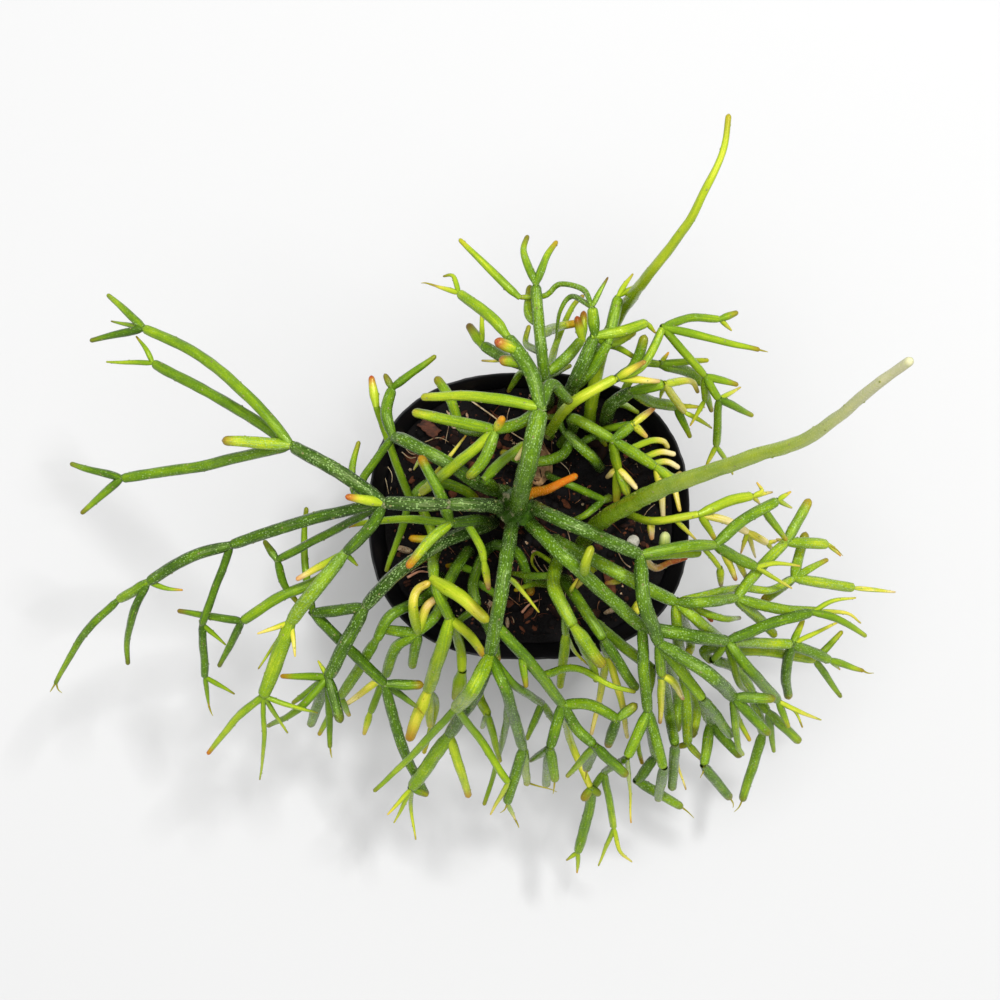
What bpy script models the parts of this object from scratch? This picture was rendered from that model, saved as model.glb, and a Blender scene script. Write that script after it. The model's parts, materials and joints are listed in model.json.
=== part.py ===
"""Mistletoe cactus (Rhipsalis) growing in a small black nursery pot.

The origin is the middle of the pot's underside, +Z is up, and lengths are in metres. The photograph looks
straight down on the pot, so each stem's joints are placed by the column and row where the photograph shows
them and by a height that is chosen by eye. Stems that would run through each other are then moved apart
along the line of sight, which leaves the picture as it is.
"""

import math

import bmesh
import bpy
import numpy as np
from mathutils import Vector

# Pot and soil, in metres
RIM_WIDTH = 0.090
RIM_DEPTH = 0.0803
POT_HEIGHT = 0.080
BASE_SHARE = 0.72
CORNER_POWER = 2.5
WALL = 0.0012
FLOOR = 0.0016
LIP_REACH = 0.0009
LIP_HEIGHT = 0.0020
POT_SIDES = 32
HOLE_COUNT = 6
HOLE_RADIUS = 0.0035
HOLE_RING = 0.66
GAP = 0.0004
SOIL_BELOW_RIM = 0.0105
SOIL_RINGS = 4
SOIL_LUMP = 0.0009
SUNK = 0.010

# The photograph, in pixels, and the height of the eye over the rim, in metres
PHOTO_MIDDLE = 500
POT_COLUMN = 529
POT_ROW = 516
RIM_PIXELS = 316
EYE_HEIGHT = 0.520

# Thickness of each kind of stem, in metres
TRUNK = 0.0046
WHIP = 0.0042
SLIM_WHIP = 0.0034
CLUB = 0.0037
LIMB = 0.0035
STEM = 0.0029
SHOOT = 0.0027
BUD = 0.0025
TWIG = 0.0021
YELLOW = 0.0021
AERIAL = 0.0018
SPROUT = 0.0014

# Loose things on the soil: column, row, turn, and length, width and height in metres
PEBBLE = (633, 541, 0.5, 0.0042, 0.0034, 0.0022)
BARK = (430, 428, -0.7, 0.0062, 0.0032, 0.0014)
LEAF = ((526, 444), (535, 456), (538, 470), (533, 484))
LEAF_THICK = 0.0016

# How the stems are moved apart: lengths in metres, and the feet's own limit in pixels
SAMPLE_STEP = 0.0019
CLEARANCE = 0.0006
SETTLE_ROUNDS = 500
STEEP = 1.2
SIDEWAYS = 0.0015
RISE_LIMIT = 0.014
FOOT_LIMIT = 10
FOOT_RISE = 0.0015
LOWEST = 0.009
JOINED_REACH = 3.2
LEAST_WEIGHT = 0.35
SIDE_SHARE = 0.3

# How a stem's tube is made
THIN = 0.0016
THICK = 0.0034
BEND_LIMIT = 0.0007
SHORT = 0.006
ROOT_SINK = 0.0011
NEAR_START = 0.2
NEAR_TIP = 0.09
FULLER = 1.06
START_SHARE = 0.76
END_SHARE = 0.86
TAPER_SHARE = 0.4
SLIM = 0.0022
POINTED_SHARE = 0.62
KEPT_FACES = 0.62

# Each spray is a table of stems. A stem's name is its parent's name and one letter more, and "a" stands in
# the soil. The points are column, row and height over the rim in millimetres. A stem starts where its parent
# ends, or, where its first point has no height, from the nearest place on its parent's side.
SPRAYS = {
    "spray_west": {
        "a": (LIMB, (500, 508, -10), (499, 507, 40), (478, 505, 55), (447, 504, 58)),
        "aa": (LIMB, (415, 504, 59), (384, 503, 58)),
        "aaa": (LIMB, (340, 472, 60), (291, 445, 58)),
        "aaaa": (SHOOT, (250, 398, 55), (200, 356, 47), (144, 328, 38)),
        "aaaaa": (TWIG, (107, 294, 31)),
        "aaaab": (SPROUT, (111, 321, 33)),
        "aaaac": (TWIG, (90, 341, 30)),
        "aaab": (SHOOT, (250, 417, 51), (200, 388, 43), (153, 363, 36)),
        "aaaba": (SPROUT, (106, 362, 30)),
        "aaabb": (SPROUT, (146, 349, 36), (136, 336, 34)),
        "aaac": (STEM, (222, 440, 52)),
        "aaad": (SHOOT, (200, 466, 46), (122, 478, 34)),
        "aaada": (TWIG, (70, 464, 27)),
        "aaadb": (TWIG, (81, 514, 26)),
        "aab": (BUD, (345, 496, 62)),
        "aac": (STEM, (340, 512, 54), (300, 522, 49), (231, 545, 38)),
        "aaca": (TWIG, (207, 611, 28), (202, 624, 25)),
        "aacaa": (TWIG, (205, 677, 12)),
        "aacaaa": (SPROUT, (209, 707, 4)),
        "aacaab": (SPROUT, (235, 694, 6)),
        "aacab": (SPROUT, (226, 645, 20)),
        "aacb": (STEM, (190, 557, 37), (148, 582, 31)),
        "aacba": (SPROUT, (166, 588, 29), (183, 590, 29)),
        "aacbb": (SHOOT, (118, 600, 25)),
        "aacbba": (TWIG, (85, 633, 16), (55, 684, 4)),
        "aacbc": (TWIG, (134, 612, 24), (127, 642, 17), (128, 665, 12)),
        "aad": (STEM, (370, 527, 55), (345, 553, 50)),
        "aada": (TWIG, (296, 580, 42)),
        "aadb": (LIMB, (316, 588, 45), (291, 622, 40)),
        "aadba": (SPROUT, (257, 634, 37)),
        "aadbb": (SPROUT, (295, 657, 36)),
        "aadbc": (CLUB, (263, 696, 27)),
        "aadbca": (TWIG, (235, 720, 20), (208, 754, 10)),
        "aadbcb": (SPROUT, (264, 740, 15), (260, 780, 2)),
        "aadbcc": (SPROUT, (288, 733, 16)),
        "aadbcd": (SPROUT, (297, 708, 22), (318, 713, 18)),
        "aadbd": (SPROUT, (272, 648, 32), (258, 669, 26)),
        "aadc": (SHOOT, (322, 578, 38), (280, 597, 33), (242, 621, 28)),
        "aadca": (TWIG, (177, 611, 20)),
        "aadcb": (TWIG, (219, 667, 16)),
        "aadd": (SPROUT, (358, 566, 44)),
        "aae": (TWIG, (335, 530, 44), (277, 560, 33)),
        "aaea": (TWIG, (264, 540, 32)),
        "aaeb": (TWIG, (285, 585, 28), (298, 603, 24)),
    },
    "spray_northwest": {
        "a": (LIMB, (506, 493, -10), (504, 492, 22), (480, 485, 35), (447, 462, 38), (410, 443, 37),
              (393, 437, 34)),
        "aa": (TWIG, (366, 474, 26), (355, 497, 20)),
        "aaa": (TWIG, (352, 470, 16), (359, 441, 17)),
        "ab": (STEM, (386, 412, 33), (392, 388, 30)),
        "aba": (TWIG, (384, 374, 30)),
        "abb": (TWIG, (436, 355, 34)),
        "ac": (STEM, (497, 491), (484, 479, 42)),
        "aca": (SHOOT, (505, 459, 36), (525, 443, 30)),
        "ad": (SPROUT, (425, 452), (414, 470, 30)),
    },
    "spray_west_inner": {
        "a": (TWIG, (424, 506, -10), (419, 502, 4), (408, 494, 12), (376, 405, 24)),
        "aa": (BUD, (371, 375, 24)),
        "ab": (TWIG, (409, 498), (404, 520, 8), (386, 572, -3)),
        "ad": (STEM, (414, 497), (432, 482, 8), (462, 489, 4), (478, 500, 0)),
        "ac": (SHOOT, (419, 503), (432, 536, 2), (409, 539, 2)),
    },
    "spray_southwest": {
        "a": (LIMB, (493, 522, -10), (491, 523, 16), (474, 530, 30), (440, 543, 38), (400, 571, 42),
              (365, 607, 36)),
        "aa": (STEM, (313, 613, 27)),
        "aaa": (TWIG, (306, 577, 22), (304, 540, 22), (306, 507, 24)),
        "aab": (STEM, (350, 650, 20), (385, 684, 12)),
        "aaba": (STEM, (424, 685, 10)),
        "aabb": (TWIG, (417, 707, 2)),
        "aabc": (STEM, (403, 748, -4), (426, 795, -16)),
        "ab": (LIMB, (345, 645, 31), (328, 677, 25)),
        "aba": (TWIG, (292, 704, 16)),
        "abb": (STEM, (310, 726, 12)),
        "abc": (STEM, (341, 723, 14)),
        "abd": (TWIG, (330, 748, 6)),
        "abe": (TWIG, (280, 676, 20)),
        "abf": (SPROUT, (318, 660, 24)),
        "abg": (TWIG, (300, 708, 20), (268, 726, 10)),
        "ac": (STEM, (489, 524), (478, 520, 40), (451, 523, 47)),
        "aca": (SHOOT, (430, 540, 50), (407, 568, 48)),
        "acb": (STEM, (438, 490, 44), (420, 455, 42)),
        "acc": (TWIG, (400, 519, 42), (345, 526, 36)),
        "acd": (TWIG, (466, 523), (480, 546, 40), (484, 562, 38)),
        "acda": (TWIG, (489, 590, 33)),
    },
    "spray_southwest_low": {
        "a": (STEM, (470, 552, -10), (466, 556, 4), (447, 585, 18), (437, 614, 18), (418, 633, 14)),
        "aa": (STEM, (380, 629, 10)),
        "ab": (STEM, (412, 668, 2)),
        "ac": (STEM, (396, 648, 8), (385, 676, 0)),
        "aca": (TWIG, (370, 713, -10)),
        "acaa": (YELLOW, (364, 735, -16)),
        "acb": (YELLOW, (342, 707, -6)),
        "ad": (SHOOT, (413, 606, 22), (417, 590, 26), (430, 582, 28)),
        "ae": (SHOOT, (426, 608, 20), (436, 598, 22)),
        "af": (YELLOW, (399, 644, 4), (398, 654, 0)),
    },
    "spray_southwest_side": {
        "a": (STEM, (441, 577, -10), (436, 583, 2), (424, 598, 13), (392, 615, 20), (376, 640, 18)),
        "aa": (STEM, (352, 680, 8), (340, 697, 2)),
        "aaa": (TWIG, (319, 735, -10)),
        "aab": (TWIG, (349, 716, -8)),
    },
    "spray_south_middle": {
        "a": (STEM, (437, 548, -10), (435, 552, 10), (433, 562, 20), (434, 580, 26)),
        "aa": (STEM, (441, 600, 24), (450, 618, 21)),
        "aaa": (CLUB, (443, 645, 12), (428, 691, -2)),
        "aaaa": (CLUB, (408, 741, -16)),
        "aaab": (SHOOT, (430, 727, -12)),
        "aaac": (TWIG, (436, 705, -10), (424, 754, -24)),
        "aab": (SHOOT, (470, 636, 16), (485, 656, 10)),
        "aac": (SHOOT, (460, 645, 10), (462, 672, 2)),
        "aaca": (CLUB, (456, 700, -8)),
        "ab": (CLUB, (462, 598, 30), (488, 622, 32)),
    },
    "spray_south_inner": {
        "a": (STEM, (487, 549, -10), (484, 554, 2), (473, 582, 10), (477, 608, 12)),
        "aa": (STEM, (492, 634, 8), (497, 662, 2)),
        "ab": (TWIG, (458, 622, 6), (452, 634, 2)),
        "ac": (TWIG, (476, 572), (460, 566, 4), (446, 566, -2)),
        "ad": (TWIG, (475, 580), (492, 592, 6), (499, 604, 0)),
        "ae": (STEM, (486, 550), (498, 545, 6), (520, 556, 4), (532, 596, 0)),
    },
    "spray_front": {
        "a": (LIMB, (513, 527, -10), (512, 526, 34), (506, 560, 52), (499, 605, 53), (490, 655, 47)),
        "aa": (CLUB, (474, 688, 36), (456, 708, 30)),
        "aaa": (TWIG, (412, 755, 12), (374, 791, -2)),
        "aab": (TWIG, (480, 740, 16), (508, 783, 2)),
        "aaba": (SPROUT, (490, 815, -8)),
        "ab": (LIMB, (476, 692, 22), (449, 735, 8)),
        "aba": (CLUB, (412, 788, -8)),
        "abaa": (SPROUT, (387, 815, -16)),
        "abab": (SPROUT, (394, 823, -19)),
        "abac": (SPROUT, (411, 808, -14), (416, 840, -24)),
        "abad": (TWIG, (428, 796, -10)),
        "abb": (SHOOT, (460, 768, 0), (469, 797, -10)),
        "ac": (STEM, (506, 692, 32), (523, 748, 14)),
        "aca": (STEM, (507, 803, -6)),
        "acab": (SPROUT, (516, 821, -14)),
        "acb": (SHOOT, (527, 784, 2)),
        "ad": (STEM, (498, 625), (530, 663, 40), (562, 704, 26)),
        "ada": (STEM, (550, 748, 12)),
        "adaa": (STEM, (555, 781, -2)),
        "adab": (TWIG, (530, 761, 6)),
        "adac": (STEM, (546, 785, -4)),
        "adb": (STEM, (577, 728, 16), (595, 746, 10)),
        "adba": (STEM, (586, 769, 2)),
        "adbb": (TWIG, (567, 777, -2)),
        "adbc": (STEM, (627, 776, -4)),
        "adc": (STEM, (590, 705, 18), (617, 719, 14)),
        "adca": (STEM, (637, 704, 14)),
        "adcb": (STEM, (608, 747, 4)),
        "add": (YELLOW, (572, 745, 6), (591, 788, -8)),
        "adda": (SHOOT, (582, 801, -13)),
        "addb": (SHOOT, (600, 795, -12)),
        "addc": (STEM, (590, 805, -14), (578, 852, -28)),
        "addca": (SPROUT, (566, 860, -32)),
        "addcb": (SPROUT, (577, 873, -35)),
        "ade": (TWIG, (522, 652), (526, 688, 30)),
        "adf": (TWIG, (547, 672), (575, 668, 20), (610, 685, 16), (636, 692, 14)),
        "ae": (SHOOT, (478, 690, 18), (488, 715, 10)),
        "aea": (TWIG, (500, 762, -6)),
        "aeb": (TWIG, (482, 728, 4)),
        "af": (TWIG, (515, 685, 26), (542, 703, 16)),
        "afa": (TWIG, (526, 740, 4)),
        "afb": (TWIG, (560, 730, 0)),
        "ag": (TWIG, (508, 700, 14), (498, 758, -8), (484, 805, -24)),
        "ah": (SPROUT, (505, 575), (517, 585, 46), (539, 612, 38)),
    },
    "spray_front_right": {
        "a": (LIMB, (548, 556, -10), (549, 560, 12), (554, 588, 30), (574, 627, 34)),
        "aa": (LIMB, (604, 667, 24)),
        "ab": (TWIG, (563, 612), (566, 634, 22)),
        "aba": (SHOOT, (560, 688, 4)),
        "abb": (SPROUT, (575, 652, 14), (590, 666, 8)),
        "ac": (SHOOT, (590, 660, 18), (597, 682, 10)),
        "ad": (TWIG, (552, 576), (530, 576, 16), (512, 573, 6)),
        "ae": (TWIG, (554, 586), (536, 584, 12), (514, 590, 4)),
        "af": (SPROUT, (550, 566), (537, 553, 4), (532, 563, -1), (541, 575, -5)),
    },
    "spray_front_far": {
        "a": (STEM, (568, 580, -10), (570, 584, 10), (578, 600, 22), (604, 640, 26)),
        "aa": (STEM, (637, 690, 14)),
        "ab": (SHOOT, (608, 655, 16)),
        "aba": (YELLOW, (621, 700, 2), (627, 738, -8)),
        "abb": (YELLOW, (599, 700, 2), (591, 735, -8)),
        "ac": (STEM, (590, 618), (620, 644, 18), (652, 668, 10)),
        "aca": (SHOOT, (646, 706, -2)),
        "ad": (SPROUT, (574, 592), (572, 589, 24), (579, 577, 28)),
    },
    "spray_southeast": {
        "a": (LIMB, (529, 522, -10), (531, 524, 32), (560, 553, 45), (590, 580, 43), (642, 627, 34)),
        "aa": (LIMB, (690, 636, 27), (727, 641, 20)),
        "aaa": (STEM, (770, 624, 14), (812, 612, 10)),
        "aaaa": (TWIG, (840, 620, 6), (866, 636, 0)),
        "aaab": (SPROUT, (833, 601, 6), (856, 598, 2)),
        "aaac": (SPROUT, (846, 613, 4), (861, 623, -2)),
        "aab": (STEM, (750, 670, 11), (778, 701, 0)),
        "aaba": (TWIG, (789, 728, -12)),
        "aabb": (SPROUT, (800, 712, -4), (821, 720, -10)),
        "aabc": (SPROUT, (795, 712, -8), (803, 728, -14)),
        "aac": (TWIG, (738, 680, 4), (746, 692, -2)),
        "aad": (STEM, (765, 643, 8), (792, 644, 2)),
        "aada": (STEM, (830, 660, -8)),
        "aadaa": (TWIG, (864, 671, -16)),
        "aadab": (SPROUT, (840, 670, -14)),
        "aadb": (STEM, (786, 672, -8), (788, 698, -16)),
        "aadc": (TWIG, (804, 619, 0)),
        "aadd": (SPROUT, (842, 620, -6)),
        "aae": (TWIG, (713, 660, 14)),
        "aaea": (STEM, (735, 668, 2), (752, 692, -8)),
        "aaeaa": (STEM, (768, 712, -14)),
        "aaeaaa": (STEM, (800, 742, -26)),
        "aaeaab": (TWIG, (774, 752, -26)),
        "aaeab": (STEM, (763, 733, -20)),
        "aaeaba": (STEM, (742, 801, -38)),
        "aaf": (SHOOT, (733, 650, 8), (770, 652, 0), (815, 660, -10)),
        "aafa": (TWIG, (841, 697, -24)),
        "aafb": (TWIG, (843, 631, -12)),
        "ab": (STEM, (644, 670, 26), (648, 711, 15)),
        "aba": (STEM, (627, 758, 0)),
        "abaa": (SPROUT, (630, 790, -12), (631, 823, -22)),
        "abab": (TWIG, (604, 772, -8)),
        "ababa": (TWIG, (584, 801, -18)),
        "ababb": (TWIG, (607, 790, -14), (614, 828, -26)),
        "ababba": (SPROUT, (598, 866, -38)),
        "ababbb": (SPROUT, (620, 850, -33), (632, 862, -37)),
        "abb": (STEM, (664, 768, -6)),
        "abba": (STEM, (658, 799, -18)),
        "abc": (STEM, (656, 756, -6)),
        "abca": (STEM, (637, 781, -16)),
        "abcaa": (STEM, (682, 807, -28)),
        "abd": (TWIG, (638, 740, -8), (642, 764, -16)),
        "ac": (SHOOT, (640, 605), (650, 590, 30)),
        "ad": (SHOOT, (584, 573), (586, 562, 50), (592, 546, 50)),
    },
    "spray_east_middle": {
        "a": (LIMB, (534, 507, -10), (536, 508, 34), (562, 521, 49), (600, 537, 49), (640, 555, 43)),
        "aa": (STEM, (688, 546, 36), (715, 545, 32)),
        "aaa": (STEM, (740, 523, 30), (778, 500, 25)),
        "aaaa": (SPROUT, (791, 491, 22)),
        "aaab": (SPROUT, (792, 508, 18)),
        "aaac": (TWIG, (764, 510), (787, 541, 16)),
        "aab": (STEM, (735, 557, 26), (756, 567, 21)),
        "aaba": (SPROUT, (778, 563, 18), (800, 566, 12)),
        "aabb": (SPROUT, (775, 578, 15), (792, 588, 9)),
        "aabc": (YELLOW, (722, 552), (736, 580, 16)),
        "aabd": (YELLOW, (737, 559), (746, 578, 12)),
        "aac": (SPROUT, (702, 546), (720, 568, 22)),
        "aaca": (YELLOW, (721, 586, 14)),
        "ab": (LIMB, (644, 600, 45), (659, 643, 41)),
        "aba": (STEM, (662, 675, 24)),
        "abaa": (YELLOW, (673, 682, 20), (683, 699, 10)),
        "abab": (YELLOW, (660, 723, 4)),
        "abac": (STEM, (669, 712, 8), (675, 745, -6)),
        "abaca": (SPROUT, (678, 765, -14), (686, 790, -24)),
        "abacb": (STEM, (672, 789, -20)),
        "abb": (LIMB, (711, 676, 22), (733, 697, 14)),
        "abba": (STEM, (770, 735, -4)),
        "abbb": (STEM, (776, 699, 6)),
        "abbc": (TWIG, (737, 740, 0), (743, 755, -6)),
        "abbd": (TWIG, (737, 716, 4), (750, 741, -8)),
        "abc": (STEM, (703, 699, 12)),
        "abca": (STEM, (731, 736, -4)),
        "abcb": (STEM, (710, 723, 0)),
        "abcba": (STEM, (704, 766, -14)),
        "abcbaa": (STEM, (730, 798, -28)),
        "abcbb": (STEM, (741, 757, -16)),
        "abd": (STEM, (676, 690, 4), (678, 732, -10)),
        "ac": (SHOOT, (700, 553, 30)),
        "aca": (STEM, (664, 549), (665, 532, 44)),
        "ad": (YELLOW, (655, 568, 30), (670, 562, 26), (688, 557, 24)),
    },
    "spray_east_low": {
        "a": (LIMB, (556, 540, -10), (559, 543, 18), (600, 563, 32), (640, 585, 31), (676, 602, 26)),
        "aa": (STEM, (705, 602, 24), (736, 598, 20)),
        "aaa": (STEM, (760, 568, 16), (786, 542, 12)),
        "aaaa": (STEM, (810, 499, 10)),
        "aaab": (STEM, (828, 544, 4)),
        "aaaba": (SPROUT, (841, 556, 0)),
        "aaac": (SPROUT, (776, 539, 8)),
        "aab": (STEM, (780, 609, 12), (822, 612, 4)),
        "aac": (STEM, (760, 620, 8), (776, 636, 2)),
        "ab": (TWIG, (705, 595, 18), (740, 588, 14), (770, 590, 8), (794, 578, 4)),
        "aba": (TWIG, (828, 559, -2)),
        "abb": (STEM, (854, 588, -8)),
        "abba": (SPROUT, (896, 592, -14)),
        "abc": (STEM, (799, 555, 0), (806, 532, 0)),
        "abd": (STEM, (780, 588, -2), (762, 602, -6)),
        "ac": (STEM, (678, 640, 14), (683, 668, 6)),
        "aca": (STEM, (686, 705, -4), (688, 744, -14)),
        "acaa": (TWIG, (703, 760, -20)),
        "acab": (TWIG, (678, 747, -18)),
        "acb": (STEM, (697, 705, -8), (692, 738, -20)),
        "ad": (STEM, (700, 622, 20), (727, 646, 8)),
        "ada": (STEM, (705, 650, 2), (712, 662, -2)),
        "ae": (YELLOW, (702, 612, 16), (713, 622, 12)),
        "af": (TWIG, (720, 618, 10), (740, 618, 6)),
        "ag": (STEM, (690, 640, 6), (688, 655, 0)),
        "ah": (YELLOW, (598, 563), (590, 572, 20), (573, 590, 12)),
        "ai": (YELLOW, (610, 569), (620, 580, 22), (606, 584, 16)),
    },
    "spray_east": {
        "a": (TWIG, (628, 513, -10), (632, 516, 6), (656, 521, 20), (700, 514, 24)),
        "aa": (SHOOT, (726, 502, 22), (753, 496, 19)),
        "aaa": (SPROUT, (762, 491, 18), (757, 482, 16)),
        "aab": (SPROUT, (773, 492, 16)),
        "aac": (SPROUT, (760, 505, 14)),
        "ab": (YELLOW, (726, 521, 17), (748, 532, 12)),
        "aba": (YELLOW, (767, 543, 6)),
        "abaa": (SPROUT, (779, 540, 3)),
        "abab": (SPROUT, (775, 552, 0)),
        "abb": (SPROUT, (741, 553, 4)),
        "abc": (SPROUT, (756, 558, 2)),
        "ac": (TWIG, (716, 541, 16)),
        "ad": (SPROUT, (674, 520), (697, 540, 16)),
        "ae": (YELLOW, (650, 520), (652, 540, 14)),
    },
    "spray_east_inner": {
        "a": (STEM, (561, 444, -10), (563, 436, 2), (575, 419, 16), (613, 440, 17)),
        "aa": (STEM, (633, 424, 18)),
        "aaa": (YELLOW, (655, 407, 19)),
        "aab": (YELLOW, (647, 437, 13)),
        "aac": (TWIG, (612, 428, 14), (596, 430, 8)),
        "ab": (STEM, (656, 467, 12)),
        "aba": (YELLOW, (661, 492, 6), (664, 522, 0)),
        "abb": (YELLOW, (672, 484, 6), (680, 512, 0)),
        "abc": (SHOOT, (672, 478, 6), (681, 474, 2)),
        "abd": (AERIAL, (629, 449), (650, 441, 10), (663, 441, 6), (668, 448, 0)),
        "abe": (AERIAL, (642, 458), (660, 452, 6), (675, 454, 0)),
        "abf": (AERIAL, (652, 464), (666, 462, 6), (679, 468, 0)),
        "ac": (SHOOT, (615, 455, 12), (618, 468, 9)),
        "aca": (SHOOT, (616, 502, 0)),
        "acb": (STEM, (628, 496, 2)),
        "acc": (YELLOW, (637, 489, 5)),
        "acd": (YELLOW, (606, 478, 3)),
    },
    "spray_back_inner": {
        "a": (STEM, (600, 468, -10), (598, 464, 0), (588, 453, 7), (564, 432, 8)),
        "aa": (TWIG, (556, 419, 7), (543, 417, 2)),
        "ab": (TWIG, (582, 440), (596, 436, 2), (606, 446, -3)),
        "ac": (STEM, (572, 439), (560, 456, 3), (532, 462, 0), (500, 452, -4)),
    },
    "spray_low_inner": {
        "a": (TWIG, (548, 474, -10), (552, 478, -4), (570, 485, 2), (604, 500, 3)),
        "aa": (TWIG, (585, 515, 0), (570, 521, -4)),
        "ab": (STEM, (612, 497, 0)),
    },
    "spray_northeast": {
        "a": (LIMB, (566, 420, -10), (567, 413, 20), (578, 375, 46), (595, 336, 52)),
        "aa": (STEM, (572, 392), (590, 371, 46), (609, 341, 51)),
        "aaa": (STEM, (618, 296, 50)),
        "aaaa": (SPROUT, (625, 285, 48), (633, 274, 46)),
        "aaab": (SPROUT, (640, 284, 46)),
        "ab": (STEM, (592, 307, 55)),
        "aba": (SPROUT, (583, 289, 52), (560, 284, 46), (545, 295, 43), (519, 297, 42)),
        "abaa": (TWIG, (500, 280, 41), (459, 239, 38)),
        "abb": (SPROUT, (572, 296, 46), (560, 312, 38), (556, 340, 28)),
        "abc": (SPROUT, (608, 277, 54)),
        "ac": (SHOOT, (622, 331, 51), (647, 323, 47)),
        "aca": (SPROUT, (656, 333, 44)),
        "ad": (SHOOT, (614, 342, 46), (636, 331, 42)),
        "ae": (TWIG, (590, 352), (612, 346, 40), (638, 359, 36)),
    },
    "spray_northeast_high": {
        "a": (SHOOT, (550, 436, -10), (551, 430, 22), (572, 403, 44), (617, 378, 47)),
        "aa": (YELLOW, (646, 361, 48)),
        "ab": (YELLOW, (660, 381, 43)),
        "ac": (STEM, (634, 366, 42), (645, 335, 44)),
        "ad": (TWIG, (643, 366, 45), (663, 327, 44)),
        "ada": (TWIG, (690, 318, 40), (720, 319, 36)),
        "adaa": (TWIG, (738, 312, 34)),
        "adab": (SPROUT, (732, 331, 32)),
        "adb": (TWIG, (760, 350, 34)),
        "adc": (TWIG, (705, 376, 33)),
        "adca": (TWIG, (738, 385, 27)),
        "adcb": (TWIG, (719, 399, 27)),
        "adcba": (SPROUT, (741, 387, 22)),
        "adcbb": (TWIG, (753, 416, 19)),
        "adcbc": (TWIG, (716, 446, 13)),
        "adcbca": (SPROUT, (705, 468, 6)),
        "adcbcb": (SPROUT, (727, 461, 6), (733, 475, 2)),
        "adcc": (TWIG, (705, 400, 24)),
        "adcca": (SPROUT, (690, 426, 16)),
    },
    "spray_northeast_low": {
        "a": (LIMB, (606, 428, -10), (606, 421, 8), (612, 404, 25), (632, 391, 33)),
        "aa": (STEM, (665, 384, 31)),
        "aaa": (YELLOW, (690, 381, 27), (698, 393, 22)),
        "aab": (YELLOW, (684, 412, 19)),
        "aaba": (SPROUT, (700, 420, 15), (712, 428, 10)),
        "aac": (SPROUT, (660, 398, 24)),
        "ab": (STEM, (650, 401, 26), (676, 406, 20)),
        "aba": (TWIG, (690, 438, 8)),
        "abb": (SPROUT, (705, 407, 16)),
        "ac": (TWIG, (618, 396), (640, 366, 28), (660, 364, 25)),
        "aca": (TWIG, (709, 360, 18)),
        "acb": (STEM, (690, 373, 18), (703, 384, 12)),
        "acba": (TWIG, (712, 412, 2)),
        "acc": (SPROUT, (669, 352, 24)),
        "ad": (TWIG, (606, 406), (622, 404, 12), (638, 413, 2)),
    },
    "spray_north": {
        "a": (TRUNK, (517, 508, -10), (517, 507, 38), (528, 464, 60), (541, 408, 63)),
        "aa": (SHOOT, (500, 399, 61), (460, 396, 56), (421, 397, 50)),
        "ab": (STEM, (520, 423, 57), (496, 430, 54)),
        "aba": (STEM, (455, 421, 47), (412, 412, 42)),
        "abb": (SHOOT, (460, 461, 42), (421, 493, 32)),
        "abba": (SPROUT, (466, 435, 42)),
        "abc": (STEM, (485, 458, 50), (467, 478, 48)),
        "abd": (BUD, (503, 417, 58)),
        "abe": (STEM, (463, 428, 36), (450, 398, 34), (436, 377, 32)),
        "ac": (YELLOW, (527, 436), (516, 460, 52)),
        "ad": (LIMB, (530, 370, 63), (507, 336, 60)),
        "ada": (SHOOT, (492, 318, 58), (459, 293, 51)),
        "adaa": (SPROUT, (433, 285, 46)),
        "adab": (SPROUT, (453, 276, 49), (443, 276, 47)),
        "adb": (STEM, (516, 352), (495, 341, 64)),
        "adc": (STEM, (524, 364), (500, 360, 56)),
        "add": (STEM, (527, 368), (503, 357, 50), (482, 345, 46)),
        "adda": (SHOOT, (468, 324, 42)),
        "addb": (SPROUT, (482, 304, 44)),
        "ade": (SPROUT, (518, 358), (498, 361, 46), (481, 361, 42)),
        "ae": (STEM, (550, 385, 58), (563, 394, 52), (570, 402, 46)),
        "af": (SHOOT, (522, 497), (548, 489, 26), (577, 475, 20)),
    },
    "spray_north_back": {
        "a": (STEM, (549, 405, -10), (548, 396, 20), (544, 374, 42), (539, 327, 46), (536, 284, 44)),
        "aa": (TWIG, (524, 254, 41), (528, 235, 39)),
        "ab": (TWIG, (546, 258, 41), (557, 241, 39)),
        "ac": (SHOOT, (538, 326), (529, 312, 40), (530, 285, 38)),
        "ad": (STEM, (545, 376), (566, 358, 38), (582, 339, 38)),
        "ada": (BUD, (577, 316, 38)),
        "adb": (BUD, (584, 311, 38)),
        "ae": (TWIG, (545, 378), (560, 370, 28), (571, 365, 24)),
        "af": (TWIG, (541, 352), (526, 344, 30), (529, 325, 28)),
        "ag": (TWIG, (547, 392), (524, 372, 16), (508, 392, 2)),
        "ah": (SHOOT, (540, 335), (560, 326, 28), (580, 323, 24)),
        "ai": (TWIG, (546, 385), (556, 345, 16), (572, 308, 18), (584, 295, 20)),
    },
    "whip_north": {
        "a": (SLIM_WHIP, (590, 428, -10), (590, 424, 6), (594, 388, 20), (603, 347, 28), (622, 311, 39),
              (647, 277, 68), (686, 226, 86), (707, 187, 94), (724, 148, 97), (729, 114, 98)),
    },
    "whip_east": {
        "a": (WHIP, (582, 546, -10), (585, 540, 10), (598, 524, 36), (622, 509, 64), (657, 491, 98),
              (715, 470, 128), (756, 456, 146), (802, 441, 164), (841, 415, 180), (872, 388, 192),
              (912, 360, 204)),
    },
}


def photo_scale(height):
    """Metres across one pixel of the photograph, at a height over the rim."""
    return RIM_WIDTH / RIM_PIXELS * (EYE_HEIGHT - height) / EYE_HEIGHT


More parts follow.
